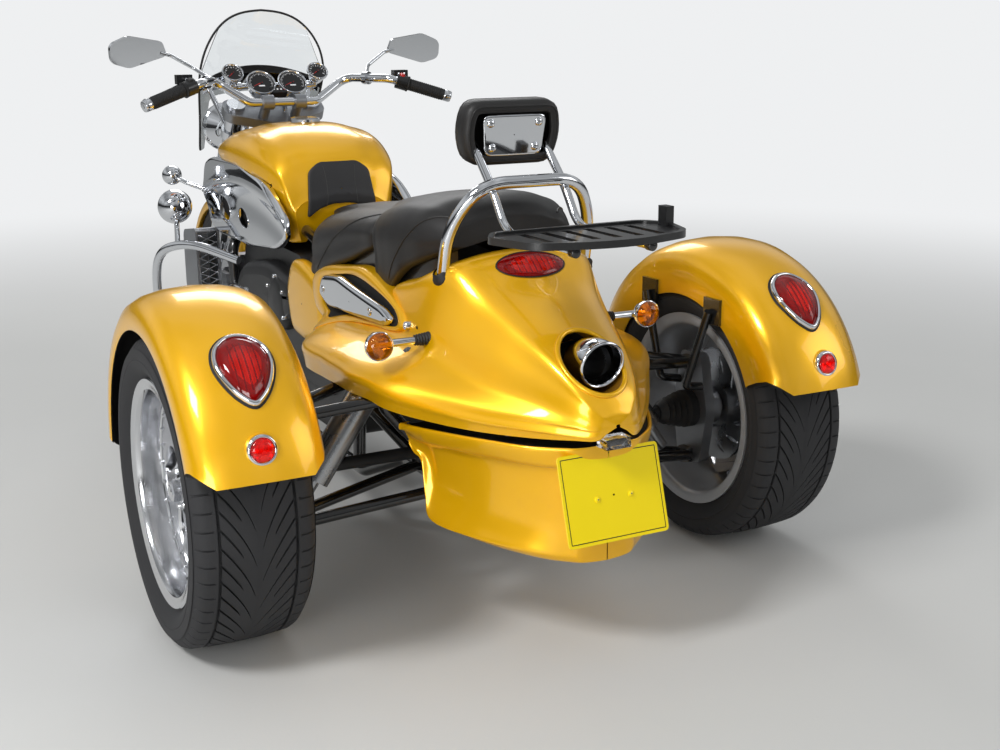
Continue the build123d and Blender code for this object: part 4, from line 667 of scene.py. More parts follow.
def inset(outline, amount):
    """Moves a closed outline of (u, v) points inwards. It runs the same way round as it was given."""
    count = len(outline)
    area = sum(a[0] * b[1] - b[0] * a[1] for a, b in zip(outline, outline[1:] + outline[:1]))
    turn = 1 if area > 0 else -1
    moved = []
    for k in range(count):
        a, b = outline[k - 1], outline[(k + 1) % count]
        du, dv = b[0] - a[0], b[1] - a[1]
        size = hypot(du, dv) or 1
        moved.append((outline[k][0] - turn * amount * dv / size, outline[k][1] + turn * amount * du / size))
    return moved


def pillow(build, outline, levels, place, mark=0, fill=True, fill_rings=4):
    """Rings of an outline at (inset, height) levels, filled towards its middle.

    place(u, v, height) gives a point.
    """
    rows = [[place(u, v, height) for u, v in inset(outline, amount)] for amount, height in levels]
    build.grid(rows, closed=True, mark=mark)
    if fill:
        last = inset(outline, levels[-1][0])
        middle = (sum(p[0] for p in last) / len(last), sum(p[1] for p in last) / len(last))
        rows = []
        for k in range(fill_rings + 1):
            share = 1 - 0.98 * k / fill_rings
            rows.append([place(middle[0] + share * (u - middle[0]), middle[1] + share * (v - middle[1]),
                               levels[-1][1]) for u, v in last])
        build.grid(rows, closed=True, mark=mark)


def smooth_outline(points, steps, loop=True):
    return [(p.x, p.y) for p in curve_through([(u, v, 0) for u, v in points], steps, loop)]


def corner(before, here, after, reach, steps):
    """Points round a corner, from reach before it to reach after it."""
    start = here + (before - here).normalized() * reach
    end = here + (after - here).normalized() * reach
    shares = [k / steps for k in range(steps + 1)]
    return [(1 - t) ** 2 * start + 2 * t * (1 - t) * here + t * t * end for t in shares]


def softened(outline, radius, longest, steps=4):
    """Rounds the corners of a straight-sided outline and adds points along its long sides."""
    round_points = []
    for k, here in enumerate(outline):
        here, before, after = Vector(here), Vector(outline[k - 1]), Vector(outline[(k + 1) % len(outline)])
        reach = min(radius, 0.45 * (here - before).length, 0.45 * (after - here).length)
        round_points += [(p.x, p.y) for p in corner(before, here, after, reach, steps)]
    out = []
    for a, b in zip(round_points, round_points[1:] + round_points[:1]):
        pieces = max(1, int(hypot(b[0] - a[0], b[1] - a[1]) / longest))
        out += [(a[0] + (b[0] - a[0]) * k / pieces, a[1] + (b[1] - a[1]) * k / pieces) for k in range(pieces)]
    return out


# The tank is cut out round the intake covers and its edge turned in
INTAKE_X, EDGE_TURN = 178, 34
INTAKE_OUTLINE = [(-738, 770), (-712, 668), (-620, 630), (-278, 630), (-54, 652), (20, 690), (12, 740),
                  (-130, 826), (-379, 862), (-640, 858), (-716, 835)]
intake_shape = softened(INTAKE_OUTLINE, 60, 14, 5)


def beyond(outline, y, z):
    """How far (y, z) lies outside a closed outline: below zero inside it."""
    inside, least = False, 1e9
    for (y0, z0), (y1, z1) in zip(outline, outline[1:] + outline[:1]):
        if (z0 > z) != (z1 > z) and y < y0 + (y1 - y0) * (z - z0) / (z1 - z0):
            inside = not inside
        size = (y1 - y0) ** 2 + (z1 - z0) ** 2 or 1
        share = min(1, max(0, ((y - y0) * (y1 - y0) + (z - z0) * (z1 - z0)) / size))
        least = min(least, hypot(y - y0 - share * (y1 - y0), z - z0 - share * (z1 - z0)))
    return -least if inside else least


def off_cover(point):
    """Below zero on the tank's skin where a cover lies."""
    return max(beyond(intake_shape, point.y, point.z) - 1, INTAKE_X - abs(point.x))


cut_away(tank_skin, off_cover)
with edited(tank_skin.data) as skin:
    edges = [edge for edge in skin.edges if edge.is_boundary]
    rim = [edge for edge in edges if all(abs(v.co.x) > (INTAKE_X + 1) * MM for v in edge.verts)]
    for grown in bmesh.ops.extrude_edge_only(skin, edges=rim)["geom"]:
        if isinstance(grown, bmesh.types.BMVert):
            grown.co.x -= copysign(EDGE_TURN * MM, grown.co.x)
    bmesh.ops.recalc_face_normals(skin, faces=skin.faces)

# The tank's front stays clear of the fork yokes over their whole turn
HEAD_RAKE = radians(32)
HEAD_FOOT = Vector((0, -1182, 0))
HEAD_BACK = Vector((0, cos(HEAD_RAKE), -sin(HEAD_RAKE)))
SLOT_DEPTH, SLOT_HALF_WIDTH = 75, 170


def behind_head(point):
    return (point - HEAD_FOOT).dot(HEAD_BACK)


cut_away(tank_skin, lambda point: max(behind_head(point) - SLOT_DEPTH, abs(point.x) - SLOT_HALF_WIDTH),
         lambda point: point + (SLOT_DEPTH - behind_head(point)) * HEAD_BACK)

# Tank pad laid on the tank's rear slope
PAD_MIDDLE, PAD_TILT = Vector((0, -75, 820)), radians(76)
pad_out = Vector((0, sin(PAD_TILT), cos(PAD_TILT)))
pad_down = Vector((0, cos(PAD_TILT), -sin(PAD_TILT)))


def on_pad(u, v, height):
    start = PAD_MIDDLE + u * RIGHT + v * pad_down + 160 * pad_out
    hit, normal = drop_on(tank_surface, start, -pad_out, height)
    return hit if hit else start - (160 - height) * pad_out


pad_shape = softened([(-102, 92), (-88, -34), (-56, -58), (56, -58), (88, -34), (102, 92), (68, 68), (28, 56),
                      (-28, 56), (-68, 68)], 12, 9)
pad = Build()
pillow(pad, pad_shape, [(0, -1), (0, 4), (1.2, 5.6), (3.5, 6.4), (8, 6.8)], on_pad, fill_rings=10)
for sign in (-1, 1):
    seam = [on_pad(sign * (41 + 0.0016 * (v - 10) ** 2), v, 6.6) for v in range(-46, 60, 5)]
    pad.tube(seam, 0.9, 6, mark=1)
made_pad = pad.make("tank_pad_cover", "vinyl", "chassis", ["tank_pad"], marks=("stitch",), sharp=50)


def between(table, value):
    """Looks value up in a table of (value, result, result...) rows, with straight lines between the rows."""
    if value <= table[0][0]:
        return table[0][1:]
    for before, after in zip(table, table[1:]):
        if value <= after[0]:
            share = (value - before[0]) / (after[0] - before[0])
            return [a + share * (b - a) for a, b in zip(before[1:], after[1:])]
    return table[-1][1:]


def swept_rows(tops, widest, bottom, shifts, length):
    """Sections whose sides lie further back than their crest, less and less towards the back.

    tops has columns y, z, crown x, crown drop. widest and bottom have y, x, z. shifts has a y for each point
    of a half section.
    """
    rows = []
    for y, top, crown, drop in tops:
        share = max(0.0, 1 - (y - tops[0][0]) / length)
        wide_x, wide_z = between(widest, y + share * shifts[6])
        low_x, low_z = between(bottom, y + share * shifts[8])
        row = crowned_row(y, top, crown, top - drop, wide_x, wide_z, low_x, low_z, tuck=7)
        rows.append([(x, y + share * shift, z) for (x, _, z), shift in zip(row, shifts)])
    return whole(rows)


STITCH_LENGTH, STITCH_PITCH = 4.2, 7


def seat(name, rows, ends, node, seam):
    """A stuffed seat: a smooth skin with a piped seam down each side and stitches beside it."""
    front, back = ends
    fine = surface_through(end_rows(rows[0], *front) + rows + end_rows(rows[-1], *back), 7, 4)
    build = Build()
    build.grid(fine)
    middle = len(fine[0]) // 2
    seamed = [row for row in fine if seam[0][0] <= row[middle].y <= seam[-1][0]]
    for sign in (-1, 1):
        lines = []
        for beside in (-1, 0, 1):
            places = [middle + sign * (between(seam, row[middle].y)[0] + 0.62 * beside) for row in seamed]
            line = [row[int(c)].lerp(row[min(int(c) + 1, len(row) - 1)], c - int(c))
                    for row, c in zip(seamed, places)]
            lines.append(curve_through(line, 3))
        build.tube(lines[1], 2.0, 8)
        for line in (lines[0], lines[2]):
            gone = 0.0
            for a, b in zip(line, line[1:]):
                long = (b - a).length
                way = (b - a).normalized()
                while gone < long:
                    build.tube([a + way * gone, a + way * min(gone + STITCH_LENGTH, long)], 0.75, 4, mark=1,
                               caps=False)
                    gone += STITCH_PITCH
                gone -= long
    made = build.make(name, "leather", "chassis", [node], marks=("stitch",), sharp=50)


RIDER_TOPS = [(-52, 752, 46, 10), (20, 770, 54, 10), (85, 780, 62, 10), (150, 789, 70, 10),
              (215, 799, 80, 10), (290, 808, 88, 10), (420, 825, 98, 11), (534, 834, 108, 12),
              (600, 836, 108, 12)]
RIDER_WIDEST = [(60, 124, 672), (110, 150, 682), (150, 168, 695), (220, 184, 715), (300, 192, 735),
                (467, 192, 770), (560, 188, 778), (640, 176, 786)]
RIDER_BOTTOM = [(90, 150, 640), (120, 162, 612), (150, 172, 597), (185, 187, 603), (212, 190, 620),
                (290, 196, 645), (367, 196, 673), (467, 195, 697), (560, 186, 732), (640, 172, 762)]
rider_rows = swept_rows(RIDER_TOPS, RIDER_WIDEST, RIDER_BOTTOM,
                        [0, 4, 16, 48, 70, 88, 108, 125, 142, 150, 150], 560)
seat("rider_seat_cover", rider_rows, (([(0.05, -57), (0.7, -56)], 700), ([(0.7, 603), (0.05, 604)], 790)),
     "rider_seat", [(165, 33), (210, 31), (302, 27), (426, 23), (497, 19), (590, 15)])
PASSENGER_TOPS = [(495, 842, 108, 14), (530, 850, 114, 14), (575, 857, 120, 13), (620, 865, 126, 13),
                  (680, 875, 129, 14), (740, 882, 130, 15), (795, 886, 129, 17), (850, 887, 125, 18),
                  (900, 872, 112, 19), (922, 852, 100, 14)]
PASSENGER_WIDEST = [(600, 186, 768), (660, 194, 778), (740, 196, 788), (800, 190, 795), (850, 182, 800),
                    (900, 160, 805), (925, 142, 805)]
PASSENGER_BOTTOM = [(630, 190, 694), (655, 193, 672), (678, 195, 664), (706, 196, 668), (734, 197, 690),
                    (766, 196, 712), (795, 190, 731), (850, 180, 752), (900, 158, 772), (925, 140, 784)]
passenger_rows = swept_rows(PASSENGER_TOPS, PASSENGER_WIDEST, PASSENGER_BOTTOM,
                            [0, 6, 22, 52, 78, 102, 124, 136, 140, 140, 140], 300)
seat("passenger_seat_cover", passenger_rows,
     (([(0.05, 489), (0.8, 490)], 770), ([(0.7, 925), (0.05, 926)], 810)), "passenger_seat",
     [(650, 33), (700, 30), (780, 26), (824, 22), (880, 17), (915, 14)])

# Backrest: a thick cushion whose edge wraps a bright back plate
REST_PLACE = at(0, 912, 1020, turn=(-8, 0, 0))


def on_rest(u, v, height):
    return REST_PLACE @ Vector((u, height, v))


rest_shape = softened([(-98, -66), (98, -66), (118, 0), (104, 68), (-104, 68), (-118, 0)], 38, 9)
rest = Build()
pillow(rest, rest_shape, [(24, 27), (20, 29.5), (13, 30), (6, 27), (1, 19), (0, 8), (0, -6), (2, -16),
                          (8, -24), (18, -27), (34, -29)], on_rest, fill_rings=6)
rest.grid([[on_rest(u, v, h) for u, v in inset(rest_shape, amount)] for amount, h in ((24, 27), (25, 20))],
          closed=True)
for amount, height in ((10.5, 29.9), (2.4, -17)):
    rest.tube([on_rest(u, v, height) for u, v in inset(rest_shape, amount)], 1.2, 6, loop=True)
made_rest = rest.make("backrest_cushion", "leather", "chassis", ["backrest_pad"], sharp=50)


# Lamps on the wings, the tail and the stalks
def facing(place, way):
    """A place whose Z axis points along way."""
    turn = Vector(way).to_track_quat("Z", "Y").to_matrix().to_4x4()
    return Matrix.Translation(Vector(place)) @ turn


def dome(build, outline, place, out, base, tall, steps, dark, sag=0):
    """A lens whose height follows how far in it is. Its first, outer rings are darker red: painted shade at its
    edge.
    """
    rings = []
    for k in range(steps + 1):
        share = sin(pi / 2 * k / steps) if k < steps else 0.995
        rise = (base + tall * sqrt(max(0, 1 - (1 - share) ** 2))) * out
        rings.append([place((1 - share) * u, (1 - share) * v + sag * share, 0) + rise for u, v in outline])
    build.grid(rings[:dark + 1], closed=True, mark=2)
    build.grid(rings[dark:], closed=True)


bezels, red = Build(), Build()
half_lamp = [(27, 60), (47, 26), (57, -12), (50, -50), (26, -75)]
lamp_shape = smooth_outline([(0, 80)] + half_lamp + [(0, -82)] + [(-u, v) for u, v in half_lamp[::-1]], 5)
lens_shape = inset(lamp_shape, 9)
LAMP_ANGLE, REFLECTOR_ANGLE = radians(48), radians(26)
lamp_out = Vector((0, cos(LAMP_ANGLE), sin(LAMP_ANGLE)))
lamp_down = Vector((0, sin(LAMP_ANGLE), -cos(LAMP_ANGLE)))
for side, _ in SIDES:
    wing_surface = surface_of(wing_skins[side])
    middle = Vector((side * (REAR_WHEEL_X - 4), REAR_WHEEL_Y, REAR_WHEEL_RADIUS)) + 410 * lamp_out

    def on_wing(u, v, height):
        start = middle + u * RIGHT + v * lamp_down + 60 * lamp_out
        hit, _ = drop_on(wing_surface, start, -lamp_out)
        return (hit if hit else start - 70 * lamp_out) + height * lamp_out

    pillow(bezels, lamp_shape, [(-3.5, -2), (-3.5, 2.6), (-2, 3.2), (0, 3.0)], on_wing, mark=1, fill=False)
    pillow(bezels, lamp_shape, [(0, 0), (0.3, 6), (2, 9.5), (4.5, 11), (7, 10.5), (9, 8), (9.4, 4)], on_wing,
           fill=False)
    dome(red, lens_shape, on_wing, lamp_out, 6, 13, 12, 3, sag=2)
    # Flutes in a darker red, painted shade, and a bright reflector cup behind the lens
    for k in range(-2, 3):
        red.tube([on_wing(11 * k, v, 5 + 8 * sqrt(max(0, 1 - (v / 66) ** 2) * (1 - (k / 4) ** 2)))
                  for v in range(-52, 53, 8)], 1.6, 6, mark=2)
    pillow(red, lens_shape, [(0, 3), (2, -1), (20, -3)], on_wing, mark=1, fill_rings=2)
    # Round reflector in its own boss
    spot = Vector((side * (REAR_WHEEL_X + 2), REAR_WHEEL_Y, REAR_WHEEL_RADIUS))
    spot += 406 * Vector((0, cos(REFLECTOR_ANGLE), sin(REFLECTOR_ANGLE)))
    place = facing(spot, (0, 0.98, 0.2))
    bezels.lathe([(-26, 42), (-14, 36), (-6, 32), (2, 30.5), (5, 29.5)], 40, "z", mark=2, move=place)
    bezels.lathe([(5, 29.5), (10, 29), (13, 27), (14, 24.5), (13, 22.5), (10, 22)], 40, "z", move=place)
    red.lathe([(11, 22.4), (15, 20), (17.5, 14), (18.5, 7), (18.8, 0.3)], 32, "z", move=place)
    red.lathe([(10, 22), (9, 10), (9, 0.3)], 32, "z", mark=1, move=place)

# Tail light: an oval lens set in the raised tail, with a thin black seal
tail_out = Vector((0, 0.94, 0.34))
tail_up = Vector((0, -0.34, 0.94))


def on_tail(u, v, height):
    start = Vector((0, 985, 744)) + u * RIGHT + v * tail_up
    hit, _ = drop_on(body_surface, start + 130 * tail_out, -tail_out)
    return (hit if hit else start) + height * tail_out


turns = [TAU * k / 48 for k in range(48)]
tail_shape = [(78 * cos(turn) * (1 - 0.06 * abs(sin(turn))), 29 * sin(turn)) for turn in turns]
pillow(bezels, tail_shape, [(-3, -4), (-3, 2), (-1.5, 3), (0.6, 1)], on_tail, mark=1, fill=False)
# Its outer rings and flutes are a darker red: painted shade
dome(red, tail_shape, on_tail, tail_out, 2, 9, 10, 2)
for k in range(-5, 6):
    bow = sqrt(1 - (k / 6.4) ** 2)
    red.tube([on_tail(12 * k, share * 25 * bow, 3 + 4 * bow) for share in (-0.85, 0, 0.85)], 1.3, 6, mark=2)
pillow(red, tail_shape, [(0, 1), (2, -0.5)], on_tail, mark=1, fill_rings=3)

# Rear indicators on bright stalks with ribbed rubber roots
amber, bowls = Build(), Build()
bowl_profile = [(-33, 0.4), (-32, 9), (-27, 18), (-19, 25), (-9, 29), (-2, 30.5), (2, 30.5), (3, 29),
                (2.5, 27.6)]
lens_profile = [(1, 27.6), (6, 27), (11, 24), (15, 18.5), (17.5, 11), (18.3, 5), (18.5, 0.3)]
for side, _ in SIDES:
    place = facing((side * 324, 965, 607), (0, 1, 0))
    bowls.lathe(bowl_profile, 40, "z", move=place)
    amber.lathe(lens_profile, 40, "z", move=place)
    bowls.tube([(side * 322, 948, 607), (side * 296, 950, 607), (side * 240, 952, 608)], 8.2, 16)
    root = [(-6, 16), (2, 16), (4, 15)]
    for rib in range(5):
        root += [(along + 6 * rib, radius - 0.7 * rib)
                 for along, radius in ((6, 14.6), (8.5, 12.4), (11, 14.2))]
    bowls.lathe(root + [(37, 8.6)], 24, "x", mark=1, move=at(side * 205, 952, 608) @ mirror(side))
    amber.lathe(lens_profile, 32, "z", move=facing((side * 280, -794, 792), (0, -1, 0)))

bezels.make("wing_lamp_bezels", "chrome", "chassis", ["rear_lamp_bowls"], marks=("rubber", "body_paint"),
            sharp=60)
red.make("red_lens_domes", "red_lens", "chassis", ["red_lenses"], marks=("lamp_back", "red_painted_shade"), sharp=60)
amber.make("indicator_lens_domes", "amber_lens", "chassis",
           ["rear_indicator_lenses", "front_indicator_lenses"], sharp=60)
bowls.make("rear_indicator_stalks", "chrome", "chassis", marks=("rubber",), sharp=45)

# Number plate: blank, with a thin border line, two screws and a rounded rim
plate = Build()
PLATE_PLACE = at(0, 1340, 352, turn=(-73, 0, 0))


def on_plate(u, v, height):
    return PLATE_PLACE @ Vector((u, v, 2 + height))


plate_shape = softened([(-114.5, -89), (114.5, -89), (114.5, 89), (-114.5, 89)], 10, 12, 6)
pillow(plate, plate_shape, [(0, -2), (0, -0.6), (0.6, 0), (3, 0)], on_plate)
plate.grid([[on_plate(share * u, share * v, -2) for u, v in plate_shape] for share in (1, 0.05)], closed=True)
plate.grid([[on_plate(u, v, 0.15) for u, v in inset(plate_shape, amount)] for amount in (6.5, 8.3)],
           closed=True, mark=1)
for u in (-38, 38):
    place = PLATE_PLACE @ at(u, 4, 2)
    plate.lathe([(0, 6), (2, 5.6), (3.2, 4), (3.6, 0.3)], 20, "z", move=place)
    plate.lathe([(3.65, 1.6), (3.7, 0.2)], 6, "z", mark=2, move=place)
bracket = [on_plate(u, v, -5) for u, v in ((-60, -40), (60, -40), (60, 40), (-60, 40))]
deep = [Vector((x, 1296, z)) for x, z in ((-60, 334), (60, 334), (60, 384), (-60, 384))]
plate.add(bracket + deep, [(0, 1, 2, 3), (4, 5, 6, 7), (0, 1, 5, 4), (1, 2, 6, 5), (2, 3, 7, 6),
                           (3, 0, 4, 7)], mark=1)
plate.make("plate_face", "plate_yellow", "chassis", ["number_plate"], marks=("control_black", "alloy"),
           sharp=40)

# Side handles: a raised rim round a recess whose near-black floor is painted shade, a bright bar with two
# bolts, a lock and a plug behind it
handles = Build()
RIM_OUTER = smooth_outline([(264, 630), (349, 669), (480, 690), (611, 702), (760, 665), (850, 625),
                            (830, 600), (700, 588), (531, 568), (444, 535), (394, 522), (302, 545),
                            (266, 572)], 6)
RIM_INNER = smooth_outline([(336, 622), (352, 642), (440, 662), (570, 679), (740, 657), (818, 625),
                            (802, 606), (680, 596), (531, 583), (444, 562), (394, 560), (352, 574),
                            (336, 598)], 6)
bar_shape = softened([(360, 606), (384, 655), (500, 671), (760, 640), (804, 620), (770, 600), (420, 586)],
                     24, 9, 6)
for side, _ in SIDES:
    def on_flank(y, z, height):
        hit, _ = drop_on(body_surface, (side * 420, y, z), (-side, 0, 0))
        out = max(abs(hit.x), 206) if hit else 206
        return Vector((side * (out + height), y, z))

    def on_bar(y, z, height):
        bow = 6 * sin(pi * min(max((y - 350) / 440, 0), 1))
        return Vector((side * (211 + bow + height), y, z))

    rows = []
    for share, height in ((0, -26), (0, -6), (0.03, 0), (0.12, 5), (0.3, 8), (0.6, 9.5), (0.9, 9), (1, 6.5),
                          (1, 2)):
        rows.append([on_flank(a + share * (c - a), b + share * (d - b), height)
                     for (a, b), (c, d) in zip(RIM_OUTER, RIM_INNER)])
    handles.grid(rows, closed=True, mark=1)
    # The recess floor is near-black: painted shade behind the bar
    pillow(handles, RIM_INNER, [(0, 2.5), (3, 2.5)], on_flank, mark=2, fill_rings=14)
    pillow(handles, bar_shape, [(1, 0), (0, 6), (0.5, 13), (3, 18), (7, 20.6), (12, 21.6)], on_bar)
    bolt_head = [(-2, 9.5), (2.4, 9.5), (3.4, 8.6), (3.6, 6.6), (2.2, 6.2), (2.2, 4.6), (4.2, 4.2),
                 (4.6, 0.3)]
    lock_face = [(-4, 9), (10, 9), (11.5, 7.5), (11.5, 5), (9.5, 4.5), (9.5, 0.3)]
    for spot, profile, steps, mark in ((on_bar(404, 624, 20), bolt_head, 24, 0),
                                       (on_bar(404, 624, 20), [(-22, 8), (0, 8)], 16, 0),
                                       (on_bar(700, 622, 20), bolt_head, 24, 0),
                                       (on_bar(700, 622, 20), [(-22, 8), (0, 8)], 16, 0),
                                       (on_flank(866, 620, 0), lock_face, 24, 0),
                                       (on_flank(904, 622, 0.6), [(0, 4.2), (0.5, 3.4), (0.6, 0.3)], 16, 2)):
        handles.lathe(profile, steps, "z", mark=mark, move=facing(spot, (side, 0, 0)))
handles.make("side_handle_bars", "chrome", "chassis", ["side_handles"], marks=("body_paint", "painted_hole_shade"),
             sharp=45)

# Exhaust tip: a polished turned-down end with a rolled rim round a bore, burnt inside and closed deeper in by a
# black disc of painted shade
tip = Build()
tip_path, way, spot = [], SILENCER_TILT, SILENCER_START + (TIP_END - 22) * SILENCER_WAY
for step, turn_down in [(11, 0)] * 2 + [(4.6, radians(3.4))] * 7:
    tip_path.append(spot)
    way -= turn_down
    spot = spot + step * Vector((0, cos(way), sin(way)))
tip.tube(tip_path, 46.8, 64, caps=False)
end_place = facing(tip_path[-1], (0, cos(way), sin(way)))
tip.lathe([(-2, 46.8), (0, 48.6), (3, 49), (5.4, 47.6), (6.2, 45), (4.6, 42.6), (0, 42), (-22, 39.6)], 64,
          "z", move=end_place)
tip_place = facing(SILENCER_START, SILENCER_WAY)
tip.lathe([(TIP_END - 4, 39.4), (TIP_END - 60, 38), (TIP_END - 118, 37)], 48, "z", mark=1, move=tip_place)
# A black disc deep in the bore: painted shade
tip.lathe([(TIP_END - 118, 37), (TIP_END - 118, 0.3)], 48, "z", mark=2, move=tip_place)
tip.make("exhaust_tip_end", "chrome", "chassis", marks=("burnt_steel", "painted_hole_shade"), sharp=50)

# Plate lamp under the tail
lamp_cover = Build()
half_turn = [(27 * cos(pi * k / 8), 19 * sin(pi * k / 8)) for k in range(9)]
lamp_cover.grid([[(x * share, 1356 - 4 * (1 - share), 467 - z * share) for share in (1, 0.9, 0.6, 0.02)]
                 for x, z in half_turn])
lamp_cover.grid([[(x, y, 467 - z) for x, z in half_turn] for y in (1330, 1356)])
lamp_cover.make("plate_lamp_cover", "clear_lens", "chassis", sharp=50)

# Gauges: chrome cups with dark dials, marks and red needles. The large ones have a small window.
# Columns: place, radius, depth, number of marks, their half width, the needles' turns left and right
GAUGES = [(49, -566, 1077, 45, 52, 31, 0.55, (205, 205)), (133, -572, 1108, 33, 44, 13, 0.8, (225, 215))]
gauges = Build()
gauge_way = Vector((0, sin(radians(48)), cos(radians(48))))


def flat_mark(turn, near, far, near_width, far_width, height, mark, place):
    """A mark or a needle on a dial, pointing outwards at turn."""
    corners = [(far, far_width), (far, -far_width), (near, -near_width), (near, near_width)]
    gauges.add([(along * cos(turn) - wide * sin(turn), along * sin(turn) + wide * cos(turn), height)
                for along, wide in corners], [(0, 1, 2, 3)], mark, place)


for x, y, z, r, depth, ticks, tick_width, leans in GAUGES:
    for (side, _), lean in zip(SIDES, leans):
        place = facing((side * x, y, z), gauge_way)
        gauges.lathe([(-depth, 0.4), (-depth, 0.45 * r), (-depth + 6, 0.62 * r), (-0.55 * depth, r - 8),
                      (-14, r - 4.5), (-9, r - 3), (-7, r - 0.6), (-4, r), (-1, r), (1.6, r - 1.4),
                      (2.2, r - 3.4), (0.6, r - 5), (-3.5, r - 6)], 48, "z", move=place)
        gauges.lathe([(-3.5, r - 6), (-4, 0.3)], 48, "z", mark=1, move=place)
        for k in range(ticks):
            outer = r - 8.5
            flat_mark(radians(-30 + 240 * k / (ticks - 1)), outer - (4 if k % 3 else 7), outer, tick_width,
                      tick_width, -3.2, 2, place)
        flat_mark(radians(lean), -5, 0.62 * r, 1.5, 0.3, -2.4, 3, place)
        gauges.lathe([(-3.8, 3.4), (-1.6, 3.2), (-1.2, 0.2)], 16, "z", mark=1, move=place)
        if x == GAUGES[0][0]:
            gauges.add([(-9, -13, -3.1), (9, -13, -3.1), (9, -8, -3.1), (-9, -8, -3.1)], [(0, 1, 2, 3)], 2,
                       place)
gauges.tube([(-133, -600, 1065), (133, -600, 1065)], 9, 16)
for side, _ in SIDES:
    gauges.tube([(side * 28, -600, 1065), (side * 28, -582, 952)], 8, 16)
    gauges.tube([(side * 131, -600, 1066), (side * 133, -590, 1085)], 8, 16)
    for x, y, z in ((49, -600, 1065), (110, -600, 1065)):
        gauges.lathe([(-7, 12.5), (7, 12.5)], 24, "x", move=at(side * x, y, z))

# Small black lamp block between the dials
block_shape = softened([(-26, -12), (26, -12), (30, 12), (-30, 12)], 7, 100)
block_place = facing((0, -548, 1056), gauge_way)
pillow(gauges, block_shape, [(0, -26), (0, -3), (2, 0), (4, 0.4)], lambda *p: block_place @ Vector(p), mark=1)
for k in range(4):
    gauges.lathe([(0.4, 3), (1.4, 2.4), (1.7, 0.2)], 12, "z", mark=3 if k == 3 else 2,
                 move=block_place @ at(-16.5 + 11 * k))
gauges.make("gauge_cups", "chrome", "steering", ["gauges"], marks=("dial_ink", "dial_face", "red_button"),
            sharp=45)

# Intake covers: a bright rolled band over a hollowed lower part with two oval windows, whose dark walls and the
# black block behind them are painted shade
# Columns: y, z, half length, half height
WINDOWS = ((-520, 716, 66, 30), (-330, 706, 48, 24))
COVER_BASE, COVER_FACE, WINDOW_BACK = 176, 23.4, 184
TILT = radians(-16)


def outside_window(point):
    """Below zero inside an oval window of a cover's face."""
    least = 9.0
    for cy, cz, long, high in WINDOWS:
        y, z = point.y - cy, point.z - cz
        u, v = cos(TILT) * y + sin(TILT) * z, cos(TILT) * z - sin(TILT) * y
        least = min(least, hypot(u / long, v / high) - 1)
    return 1 if abs(point.x) < COVER_BASE + 10 else least


def spine_line(y):
    """Height of the crease between the bright band and the hollow."""
    return 795 - 0.00042 * (y + 330) ** 2


covers = Build()
for side, _ in SIDES:
    def on_cover(y, z, height):
        edge = spine_line(y)
        swell = 7 * exp(-((z - edge - 16) / 26) ** 2) - 5 * exp(-((z - edge + 42) / 34) ** 2)
        fade = min(1, max(0, (height - 14) / 8))
        return Vector((side * (COVER_BASE + height + fade * swell * 0.8), y, z))

    levels = [(3, 0), (0, 3), (0, 14), (1.5, 18.5), (5, 22), (9, COVER_FACE)]
    rows = [[on_cover(y, z, h) for y, z in inset(intake_shape, amount)] for amount, h in levels]
    covers.grid(rows, closed=True)
    inner = inset(intake_shape, 9)
    # The face is a grid between the upper and the lower half of its outline
    tall = []
    steps_along, steps_up = 64, 24
    low_y, high_y = min(p[0] for p in inner), max(p[0] for p in inner)
    for k in range(steps_along + 1):
        share = 0.5 - 0.5 * cos(pi * k / steps_along)
        y = low_y + 0.01 + (high_y - low_y - 0.02) * share
        cuts = []
        for a, b in zip(inner, inner[1:] + inner[:1]):
            if (a[0] - y) * (b[0] - y) <= 0 and a[0] != b[0]:
                cuts.append(a[1] + (b[1] - a[1]) * (y - a[0]) / (b[0] - a[0]))
        low, high = min(cuts), max(cuts)
        tall.append([on_cover(y, low + (high - low) * j / steps_up, COVER_FACE) for j in range(steps_up + 1)])
    covers.grid(tall)
    for cy, cz, long, high in WINDOWS:
        ovals = [(long * cos(TAU * k / 40), high * sin(TAU * k / 40)) for k in range(40)]
        ovals = [(cos(TILT) * u - sin(TILT) * v, sin(TILT) * u + cos(TILT) * v) for u, v in ovals]
        ring = [on_cover(cy + u, cz + v, COVER_FACE) for u, v in ovals]
        deep = [Vector((side * WINDOW_BACK, cy + u, cz + v)) for u, v in ovals]
        covers.tube(ring, 1.8, 8, loop=True)
        # Dark window walls and a black core: painted shade
        covers.grid([ring, deep], closed=True, mark=1)
        core = [(side * (WINDOW_BACK - 1), cy + 0.05 * u, cz + 0.05 * v) for u, v in ovals]
        covers.grid([deep, core], closed=True, mark=1)
    root, knee, tip_end = (side * 190, -710, 748), (side * 244, -756, 770), (side * 279, -776, 790)
    covers.tube(curve_through([root, knee, tip_end], 8), 7.2, 14)
    covers.lathe([(-4, 13), (4, 12), (7, 9)], 24, "x", move=at(side * 200, -716, 752))
    covers.lathe(bowl_profile, 36, "z", move=facing((side * 280, -794, 792), (0, -1, 0)))
# A black block behind the windows: painted shade seen through them
covers.add([(x, y, z) for x in (-175.6, 175.6) for y in (-430, -270) for z in (664, 735)],
           [(0, 1, 3, 2), (4, 5, 7, 6), (0, 1, 5, 4), (2, 3, 7, 6), (0, 2, 6, 4), (1, 3, 7, 5)], mark=1)
cut_away(covers.make("intake_cover_skins", "chrome", "chassis", ["intake_covers"], marks=("painted_hole_shade",),
                     sharp=45), outside_window)

